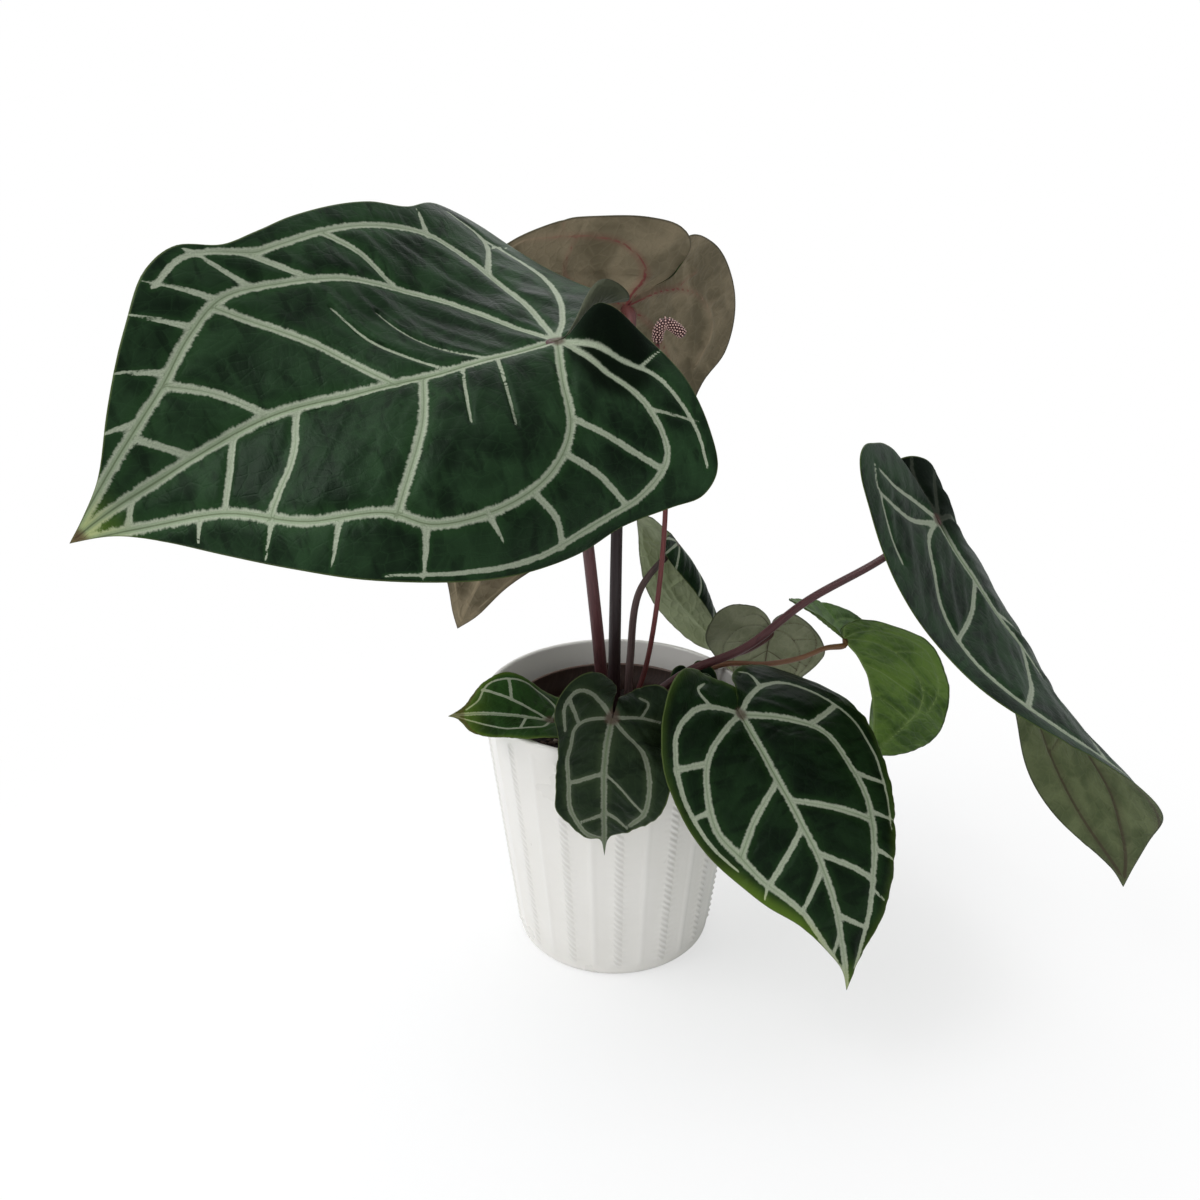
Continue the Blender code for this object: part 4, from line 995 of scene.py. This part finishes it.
def make_stalk(leaf_name, material):
    """Leaf stalk with a broad foot and the thick joint under the blade."""
    leaf, stalk = LEAVES[leaf_name], STALKS[leaf_name]
    surface = LeafSurface(leaf)
    zero = np.array([0.0])
    normal, tangent = surface.frame(zero)[2][0], surface.frame(zero)[0][0]
    tip_radius = stalk["radius"] * TIP_RADIUS
    end = surface.point(zero, zero)[0] + tangent * tip_radius - normal * 0.0002
    foot_z = CROWN_SEAT if leaf_name in CROWN_STALKS else MIX_SEAT
    path = rising(stalk["foot"], foot_z, stalk["via"] + [end - normal * 2 * stalk["radius"], end])
    path = evenly(path, 90)
    total = step_lengths(path).sum()
    along = np.linspace(0, total, len(path))
    radii = stalk["radius"] * (1 - (1 - TIP_RADIUS) * along / total)
    radii = radii * (1 + 0.25 * np.exp(-(along / 0.012) ** 2))
    joint = np.exp(-((total - along - 0.007) / 0.006) ** 2)
    radii = radii * (1 + 0.22 * joint)
    name = leaf_name.replace("leaf", "stalk")
    piece = tube(name + "_skin", path, radii, 20)
    place_piece(piece, name, "burgundy_stalk", material)


def make_stalks():
    maroon = stalk_material("stalk_maroon", (0.030, 0.010, 0.010), (0.075, 0.020, 0.022),
                            (0.055, 0.022, 0.018))
    dark = stalk_material("stalk_dark", (0.020, 0.008, 0.008), (0.016, 0.006, 0.007), (0.13, 0.038, 0.034))
    dusky = stalk_material("stalk_dusky", (0.050, 0.024, 0.022), (0.075, 0.042, 0.038),
                           (0.008, 0.006, 0.006))
    amber = stalk_material("stalk_amber", (0.10, 0.030, 0.018), (0.15, 0.062, 0.028), (0.16, 0.08, 0.03))
    skins = {"leaf_large": maroon, "leaf_back": dark, "leaf_right": maroon, "leaf_front_right": maroon,
             "leaf_front": maroon, "leaf_left": maroon, "leaf_folded": dusky, "leaf_pale": maroon,
             "leaf_new": amber, "leaf_shaded": dark}
    for leaf_name, skin in skins.items():
        make_stalk(leaf_name, skin)


def make_peduncle():
    curve = evenly(rising(PEDUNCLE_FOOT, CROWN_SEAT, PEDUNCLE_VIA), 110)
    share = np.linspace(0, 1, len(curve))
    radii = PEDUNCLE_RADIUS * (1 - 0.12 * share + 0.5 * np.exp(-(share / 0.03) ** 2))
    piece = tube("peduncle_skin", curve, radii, 16)
    red = stalk_material("peduncle_red", (0.060, 0.014, 0.014), (0.125, 0.022, 0.020), (0.10, 0.022, 0.022))
    place_piece(piece, "peduncle", "red_stalk", red)


def bead(radius, level):
    """Vertices and faces of a small ball."""
    bm = bmesh.new()
    bmesh.ops.create_icosphere(bm, subdivisions=level, radius=radius)
    verts = np.array([v.co for v in bm.verts])
    faces = [tuple(v.index for v in f.verts) for f in bm.faces]
    bm.free()
    return verts, faces


BEAD_RADIUS = 0.00072
BEAD_SPACING, ROW_SPACING = 0.00125, 0.00112


def make_spadix():
    """Arched spadix: a core wound round with rows of small pale flower beads."""
    curve = evenly(through(SPADIX_PATH, 12), 60)
    share = np.linspace(0, 1, len(curve))
    tangents = directions_along(curve)
    radii = (SPADIX_RADIUS - 0.0007) * np.sqrt(np.clip(1 - (2 * share - 1) ** 8, 0.1, 1))
    ball, ball_faces = bead(BEAD_RADIUS, 2)
    core = tube("spadix_core", curve, radii, 24)
    verts = [np.array([v.co for v in core.data.vertices])]
    faces = [tuple(p.vertices) for p in core.data.polygons]
    tips = [np.zeros((len(verts[0]), 3))]
    bpy.data.objects.remove(core, do_unlink=True)
    total = step_lengths(curve).sum()
    rows = int(total / ROW_SPACING)
    for row in range(1, rows):
        k = row / rows * (len(curve) - 1)
        i = int(k)
        centre, tangent, radius = curve[i], tangents[i], radii[i]
        side = np.cross(tangent, (0.0, 1.0, 0.0))
        side /= np.linalg.norm(side)
        other = np.cross(tangent, side)
        ring = max(5, int(2 * math.pi * radius / BEAD_SPACING))
        for b in range(ring):
            angle = 2 * math.pi * (b + 0.5 * (row % 2)) / ring
            out = math.cos(angle) * side + math.sin(angle) * other
            base = sum(len(v) for v in verts)
            verts.append(ball + centre + out * radius)
            tips.append(np.repeat((ball @ out / BEAD_RADIUS)[:, None], 3, axis=1))
            faces += [tuple(base + v for v in f) for f in ball_faces]
    piece = build_mesh("spadix_beads", np.vstack(verts), faces, {"tip": np.vstack(tips)})
    m = Shade("spadix_beaded", roughness=0.45)
    tip = m.split(m.attribute("tip"))[0]
    # Dark maroon on the core and where the beads face into it: partly the core's own colour, partly painted
    # shade in the gaps between beads.
    m.colour(m.mix(m.step(tip, 0.62, 0.97), (0.045, 0.007, 0.008), (0.78, 0.50, 0.44)))
    place_piece(piece, "spadix", "spadix", m.material)


BRACT_WALL = 0.0004
BRACT_START, BRACT_SWEEP = -200, 330    # degrees that the strip starts at and is rolled through


def make_bract():
    """Dried sheath left beside the crown: a ribbed strip rolled round on itself, open on one side."""
    rows, turns = 26, 60
    foot = np.array([*BRACT_FOOT, MIX_TOP - 0.001])
    top = np.array(BRACT_VIA[0])
    verts, place = [], []
    for layer in (0.0, -BRACT_WALL):
        for row in range(rows + 1):
            up = row / rows
            centre = foot + (top - foot) * up
            for k in range(turns + 1):
                angle = math.radians(BRACT_START + BRACT_SWEEP * k / turns)
                rib = 0.00022 * math.cos(k * 1.25)
                radius = BRACT_RADIUS * (0.62 + 0.30 * up + 0.12 * k / turns) + layer + rib
                tip = 0.0022 * up * math.sin(angle * 1.5)
                verts.append(centre + np.array([math.cos(angle) * radius, math.sin(angle) * radius, tip]))
                place.append((angle * 0.004, up * 0.02, rib * 10))
    width = turns + 1
    size = width * (rows + 1)
    faces = []
    for row in range(rows):
        for k in range(turns):
            a = row * width + k
            faces.append((a, a + 1, a + width + 1, a + width))
            faces.append((size + a, size + a + width, size + a + width + 1, size + a + 1))
    border = list(range(turns)) + [row * width + turns for row in range(rows)]
    border += [rows * width + k for k in range(turns, 0, -1)] + [row * width for row in range(rows, 0, -1)]
    for k, a in enumerate(border):
        b = border[(k + 1) % len(border)]
        faces.append((b, a, size + a, size + b))
    piece = build_mesh("dry_bract_roll", verts, faces, {"place": place})
    m = Shade("bract_dry", roughness=0.6)
    where = m.attribute("place")
    rib_height = m.split(where)[2]
    grain = m.noise(m.stretch(where, (1.0, 0.2, 0.0)), 2400.0)
    # Painted shade in the grooves between the ribs and painted highlight on their crests.
    skin = m.mix(m.step(rib_height, -0.0022, 0.0022), (0.20, 0.095, 0.080), (0.47, 0.28, 0.24))
    m.colour(m.mix(m.step(grain, 0.45, 0.75, 0.0, 0.5), skin, (0.13, 0.055, 0.045)))
    m.bump(grain, 0.0003)
    place_piece(piece, "dry_bract", "dry_bract", m.material)


# ---------------------------------------------------------------- planter, nursery pot, mix and crown
ROPE_PITCH = 0.0040             # height between one strand and the next
ROPE_WIDTH = 0.0030             # half of the rope moulding's width
ROPE_RELIEF = 0.0011
RIDGE_WIDTH = 0.0034            # half of the plain ridge's width
PATTERN_TURN = math.radians(-88.5)
PATTERN_STEP = 2 * math.pi / RIB_PAIRS
WALL_STEP = 0.00075             # height between the wall's rings, which carry the strands


def pot_outer_radius(z):
    return POT_BASE_RADIUS + (POT_RIM_RADIUS - POT_BASE_RADIUS) * z / POT_HEIGHT


def revolve(name, profile, angles, relief=None):
    """Closed body of revolution; the profile starts and ends on the axis.

    relief(angles, r, z) gives what is added to r, and how deep a groove is there, which the planter's glaze
    darkens as painted shade.
    """
    count = len(angles)
    verts = [np.array([[0.0, 0.0, profile[0][1]]])]
    raised = [np.zeros((1, 3))]
    for r, z in profile[1:-1]:
        lift, groove = relief(angles, r, z) if relief else (np.zeros(count), angles * r)
        radius = r + lift
        verts.append(np.stack([radius * np.cos(angles), radius * np.sin(angles), np.full(count, z)], -1))
        raised.append(np.stack([groove, np.full(count, z), lift], -1))
    verts.append(np.array([[0.0, 0.0, profile[-1][1]]]))
    raised.append(np.zeros((1, 3)))
    rows = len(profile) - 2
    last = 1 + rows * count
    faces = fan(0, 1, count, flip=True) + ring_quads(1, count, rows - 1) + fan(last, last - count, count)
    return build_mesh(name, np.vstack(verts), faces, {"place": np.vstack(raised)})


def pattern_angles():
    """Angles round the wall, close together on the mouldings and wide apart between them."""
    angles = []
    for pair in range(RIB_PAIRS):
        rope = PATTERN_TURN + pair * PATTERN_STEP
        for middle, points in ((rope, 15), (rope + PATTERN_STEP / 2, 9)):
            across = np.linspace(-RIDGE_WIDTH, RIDGE_WIDTH, points)
            angles += [middle + x / POT_RIM_RADIUS for x in across]
            angles += [middle + PATTERN_STEP * 0.25]
    return np.array(angles)


def moulding_relief(angles, r, z):
    """Height of the ridges and the rope's slanted strands, and depth of the rope's grooves, which the glaze
    darkens as painted shade.
    """
    if not (RIB_BOTTOM - 0.004 < z < RIB_TOP + 0.002) or abs(r - pot_outer_radius(z)) > 1e-6:
        return np.zeros(len(angles)), np.zeros(len(angles))
    turn = (angles - PATTERN_TURN + PATTERN_STEP / 4) % PATTERN_STEP - PATTERN_STEP / 4
    ends = smooth_step(RIB_BOTTOM - 0.002, RIB_BOTTOM + 0.001, z)
    ends = ends * smooth_step(RIB_TOP + 0.001, RIB_TOP - 0.002, z)
    from_rope = turn * r
    from_ridge = (turn - PATTERN_STEP / 2) * r
    ridge = smooth_step(RIDGE_WIDTH, 0.0, np.abs(from_ridge))
    rope_bed = np.clip(1 - (from_rope / ROPE_WIDTH) ** 2, 0, 1)
    strand = np.cos(2 * math.pi * (z + 0.85 * from_rope) / ROPE_PITCH) * 0.5 + 0.5
    rope = rope_bed * (0.15 + 0.85 * strand ** 1.2)
    groove = smooth_step(0.1, 0.6, rope_bed) * (1 - strand) * ends
    return ends * (0.65 * RIB_RELIEF * ridge + ROPE_RELIEF * rope), groove


def make_planter():
    """Glazed pot: foot, moulded wall, rounded rim, and the inside down to its floor."""
    top, rim = POT_HEIGHT, POT_RIM_RADIUS
    profile = [(0, 0.0012), (POT_BASE_RADIUS - 0.010, 0.0012), (POT_BASE_RADIUS - 0.0085, 0.0),
               (POT_BASE_RADIUS - 0.0036, 0.0), (POT_BASE_RADIUS - 0.0022, 0.0003),
               (POT_BASE_RADIUS - 0.0010, 0.0010), (pot_outer_radius(0.0022) - 0.0003, 0.0022)]
    profile += [(pot_outer_radius(z), z) for z in np.arange(0.0035, RIB_TOP + 0.003, WALL_STEP)]
    profile += [(pot_outer_radius(top - 0.0030), top - 0.0030)]
    centre, lip = rim - POT_LIP / 2, POT_LIP / 2
    for k in range(13):
        angle = math.pi * k / 12
        profile.append((centre + lip * math.cos(angle), top - lip + lip * math.sin(angle)))
    for z in (0.146, 0.140, 0.120, 0.100, 0.070, 0.040, POT_FLOOR + 0.005):
        profile.append((pot_outer_radius(z) - POT_LIP - 0.0004, z))
    profile += [(POT_BASE_RADIUS - POT_LIP - 0.003, POT_FLOOR + 0.001),
                (POT_BASE_RADIUS - 0.012, POT_FLOOR), (0, POT_FLOOR)]
    m = Shade("glazed_white", roughness=0.30)
    groove, _, raised = m.split(m.attribute("place"))
    position = m.position()
    cloud = m.noise(position, 26.0, 4.0)
    specks = m.noise(position, 700.0, 2.0)
    glaze = m.mix(m.step(cloud, 0.3, 0.7), (0.800, 0.780, 0.735), (0.825, 0.805, 0.765))
    # Painted highlight on the raised ridges and strands.
    glaze = m.mix(m.step(raised, 0.0002, RIB_RELIEF, 0.0, 0.35), glaze, (0.84, 0.83, 0.80))
    # Painted shade in the rope's grooves.
    glaze = m.mix(m.step(groove, 0.1, 0.9, 0.0, 0.26), glaze, (0.50, 0.48, 0.44))
    glaze = m.mix(m.step(specks, 0.82, 0.88, 0.0, 0.25), glaze, (0.42, 0.38, 0.32))
    m.colour(glaze)
    m.feed(m.shader.inputs["Roughness"], m.step(cloud, 0.2, 0.8, 0.26, 0.34))
    m.bump(m.noise(position, 180.0, 3.0), 0.00025)
    m.shader.inputs["Coat Weight"].default_value = 0.25
    m.shader.inputs["Coat Roughness"].default_value = 0.18
    piece = revolve("planter_glazed", profile, pattern_angles(), moulding_relief)
    place_piece(piece, "planter", "white_glaze", m.material)


def nursery_radius(z):
    share = (z - NURSERY_FLOOR) / (NURSERY_TOP - NURSERY_FLOOR)
    return NURSERY_BASE_RADIUS + (NURSERY_RIM_RADIUS - 0.002 - NURSERY_BASE_RADIUS) * share


def make_nursery_pot():
    """Thin brown pot with a rolled collar round its rim."""
    low, top, rim = NURSERY_FLOOR, NURSERY_TOP, NURSERY_RIM_RADIUS
    wall = NURSERY_WALL
    profile = [(0, low), (NURSERY_BASE_RADIUS - 0.001, low), (NURSERY_BASE_RADIUS, low + 0.001)]
    profile += [(nursery_radius(z), z) for z in (0.04, 0.08, 0.11, 0.128, top - 0.0082)]
    collar = [(0.0003, 0.0078), (0, 0.0070), (0, 0.0012), (0.0003, 0.0004), (0.0009, 0),
              (0.0015, 0.0003), (0.0018, 0.0012), (0.0020, 0.0060)]     # in from the rim, down from the top
    profile += [(rim - inward, top - down) for inward, down in collar]
    profile += [(nursery_radius(z) - wall, z) for z in (top - 0.0090, 0.128, 0.11, 0.08, 0.04, low + wall)]
    profile += [(0, low + wall)]
    piece = revolve("nursery_pot_moulded", profile, angles_round(160))
    m = Shade("brown_moulded", roughness=0.45)
    where = m.attribute("place")
    position = m.position()
    scuffs = m.noise(m.stretch(where, (1.0, 0.12, 0.0)), 900.0, 3.0)
    dust = m.noise(position, 90.0, 4.0)
    skin = m.mix(m.step(scuffs, 0.40, 0.75), (0.030, 0.015, 0.011), (0.052, 0.027, 0.020))
    height = m.split(where)[1]
    # Painted highlight along the top edge of the rim.
    skin = m.mix(m.step(height, top - 0.0013, top - 0.0003, 0.0, 0.55), skin, (0.22, 0.14, 0.11))
    m.colour(m.mix(m.step(dust, 0.60, 0.80, 0.0, 0.35), skin, (0.13, 0.085, 0.062)))
    m.bump(scuffs, 0.0002)
    place_piece(piece, "nursery_pot", "brown_plastic", m.material)


CHIPS = 620                     # loose pieces of bark


def make_mix():
    """Dark bark and peat: a rough bed with loose chips lying in it."""
    rng = np.random.default_rng(7)
    rings, around = 34, 120
    inside = nursery_radius(MIX_EDGE_TOP) - NURSERY_WALL - 0.0002
    radii = inside * (np.arange(1, rings + 1) / rings)
    angles = angles_round(around)
    points = [np.array([[0.0, 0.0, MIX_TOP - 0.0006]])]
    for r in radii:
        z = MIX_TOP - 0.0008 - (MIX_TOP - MIX_EDGE_TOP) * (r / inside) ** 4
        points.append(np.stack([r * np.cos(angles), r * np.sin(angles), np.full(around, z)], -1))
    surface = np.vstack(points)
    surface[:, 2] += 0.0008 * noise_at(surface, 260.0, 1.5) + 0.0009 * noise_at(surface, 90.0, 4.1)
    low = POT_FLOOR + 0.002
    narrowing = NURSERY_BASE_RADIUS / inside * 0.96
    bottom = surface[-around:] * [narrowing, narrowing, 0]
    bottom[:, 2] = low
    verts = [surface, bottom, [[0, 0, low]]]
    end = len(surface)
    faces = fan(0, 1, around) + ring_quads(1, around, rings, flip=True)
    faces += fan(end + around, end, around, flip=True)
    base = end + around + 1
    ball, ball_faces = bead(1.0, 1)
    tone = [np.zeros((base, 3))]
    for _ in range(CHIPS):
        r, angle = inside * math.sqrt(rng.random()) * 0.965, rng.random() * 2 * math.pi
        size = rng.uniform(0.0010, 0.0030)
        rough = ball * (1 + 0.30 * rng.standard_normal((len(ball), 1)))
        shape = rough * size * [1.0, rng.uniform(0.45, 0.8), rng.uniform(0.25, 0.5)]
        turn = rng.random() * 2 * math.pi
        c, s = math.cos(turn), math.sin(turn)
        shape = shape @ np.array([[c, s, 0], [-s, c, 0], [0, 0, 1]])
        z = MIX_TOP - 0.0006 - (MIX_TOP - MIX_EDGE_TOP) * (r / inside) ** 4
        verts.append(shape + [r * math.cos(angle), r * math.sin(angle), z])
        faces += [tuple(base + v for v in f) for f in ball_faces]
        tone.append(np.full((len(ball), 3), rng.random()))
        base += len(ball)
    piece = build_mesh("potting_mix_bark", np.vstack(verts), faces, {"tone": np.vstack(tone)})
    m = Shade("bark_mix", roughness=0.9, specular=0.25)
    tone_value = m.split(m.attribute("tone"))[0]
    position = m.position()
    grit = m.noise(position, 900.0, 4.0)
    soil = m.mix(grit, (0.004, 0.003, 0.0025), (0.022, 0.014, 0.010))
    soil = m.mix(m.step(tone_value, 0.25, 0.95), soil, (0.055, 0.034, 0.022))
    m.colour(m.mix(m.step(tone_value, 0.965, 0.975, 0.0, 0.8), soil, (0.20, 0.17, 0.13)))
    m.bump(grit, 0.0006)
    place_piece(piece, "potting_mix", "potting_mix", m.material)


def make_crown():
    """Short knotty stem with rings of leaf scars and papery fibres."""
    rows, around = 26, 72
    angles = angles_round(around)
    low = MIX_TOP - 0.002
    verts = []
    for row in range(rows + 1):
        up = row / rows
        z = low + (CROWN_TOP + 0.0004 - low) * up
        scars = 0.0006 * np.cos(2 * math.pi * (up * 4 + angles / (2 * math.pi)))
        round_it = np.stack([np.cos(angles) * 2, np.sin(angles) * 2, 0 * angles + up * 2], -1)
        knots = 0.0013 * noise_at(round_it, 1.6)
        taper = 1 - 0.16 * up - 0.55 * smooth_step(0.82, 1.0, up)
        radius = (CROWN_RADIUS + 0.0012) * taper + scars + knots
        verts.append(np.stack([CROWN_CENTRE[0] + radius * np.cos(angles),
                               CROWN_CENTRE[1] + radius * np.sin(angles), np.full(around, z)], -1))
    faces = ring_quads(0, around, rows) + end_caps((rows + 1) * around, around)
    piece = build_mesh("crown_stem", np.vstack(verts), faces)
    m = Shade("crown_bark", roughness=0.75, specular=0.3)
    position = m.position()
    fibres = m.noise(m.stretch(position, (1.0, 1.0, 0.15)), 1300.0, 4.0)
    bark = m.noise(position, 240.0, 4.0)
    skin = m.mix(m.step(bark, 0.3, 0.7), (0.018, 0.010, 0.007), (0.075, 0.040, 0.024))
    m.colour(m.mix(m.step(fibres, 0.5, 0.8, 0.0, 0.6), skin, (0.16, 0.095, 0.055)))
    m.bump(fibres, 0.0006)
    place_piece(piece, "crown", "crown_bark", m.material)


# ---------------------------------------------------------------- floor, light and camera
FLOOR_RADIUS = 9.0
SKY_BRIGHTEST = (-0.15, 0.45, 0.88)     # towards the brightest part of the surroundings
SKY_POWER = (0.24, 0.80)                # strength at its darkest and at its brightest
LIT_POINT = (0, 0, 0.2)
SOFT_BOXES = {                          # place, size in metres, watts
    "key": ((-1.0, -0.35, 1.45), 1.0, 15.0),
    "back": ((0.1, 1.5, 1.25), 1.3, 6.0),
    "front": ((0.35, -1.7, 0.6), 1.6, 6.0),
}
CAMERA_PLACE = (-0.0084, -0.584, 0.441)
CAMERA_DOWN = 0.381                     # radians below the level
CAMERA_LENS, SENSOR = 34.65, 36.0       # millimetres


def make_floor():
    mesh = bpy.data.meshes.new("floor")
    bm = bmesh.new()
    bmesh.ops.create_circle(bm, cap_ends=True, segments=96, radius=FLOOR_RADIUS)
    bm.to_mesh(mesh)
    bm.free()
    floor = bpy.data.objects.new("floor", mesh)
    floor.location = (0, 0, -0.0002)
    bpy.context.collection.objects.link(floor)
    m = Shade("pale_floor", roughness=0.9, specular=0.1)
    m.colour((0.93, 0.93, 0.93))
    white = m.node("ShaderNodeEmission", {"Color": (1.0, 1.0, 1.0), "Strength": 1.0})
    seen = m.node("ShaderNodeLightPath").outputs["Is Camera Ray"]
    share = m.times(m.step(m.length(m.position()), 0.08, 0.50, 0.60, 1.0), seen)
    m.blend(share, m.shader, white, "Material Output")
    mesh.materials.append(m.material)


def make_light():
    """White surroundings that light the plant less than they show, and three soft boxes."""
    world = bpy.data.worlds.new("studio")
    m = Nodes(world)
    seen = m.tree.nodes["Background"]
    m.feed(seen.inputs["Color"], (1.0, 1.0, 1.0))
    way = m.node("ShaderNodeTexCoord").outputs["Generated"]
    toward = m.node("ShaderNodeVectorMath", {0: way, 1: SKY_BRIGHTEST}, operation="DOT_PRODUCT")
    power = m.node("ShaderNodeMapRange", {
        "Value": toward.outputs["Value"], "From Min": -0.45, "From Max": 0.85,
        "To Min": SKY_POWER[0], "To Max": SKY_POWER[1]})
    lit = m.node("ShaderNodeBackground", {"Color": (0.96, 0.98, 1.0), "Strength": power.outputs["Result"]})
    m.blend(m.node("ShaderNodeLightPath").outputs["Is Camera Ray"], lit, seen, "World Output")
    bpy.context.scene.world = world
    for name, (place, size, energy) in SOFT_BOXES.items():
        light = bpy.data.lights.new(name, "AREA")
        light.size = size
        light.energy = energy
        lamp = bpy.data.objects.new(name, light)
        lamp.location = place
        lamp.rotation_euler = (Vector(LIT_POINT) - Vector(place)).to_track_quat("-Z", "Y").to_euler()
        bpy.context.collection.objects.link(lamp)


def make_camera():
    camera = bpy.data.objects.new("camera", bpy.data.cameras.new("camera"))
    camera.data.lens = CAMERA_LENS
    camera.data.sensor_width = SENSOR
    camera.location = CAMERA_PLACE
    camera.rotation_euler = (math.pi / 2 - CAMERA_DOWN, 0, 0)
    bpy.context.collection.objects.link(camera)
    bpy.context.scene.camera = camera


make_floor()
make_light()
make_camera()
make_planter()
make_nursery_pot()
make_mix()
make_crown()
make_leaves()
make_stalks()
make_peduncle()
make_spadix()
make_bract()
bpy.context.scene.view_settings.view_transform = "Standard"
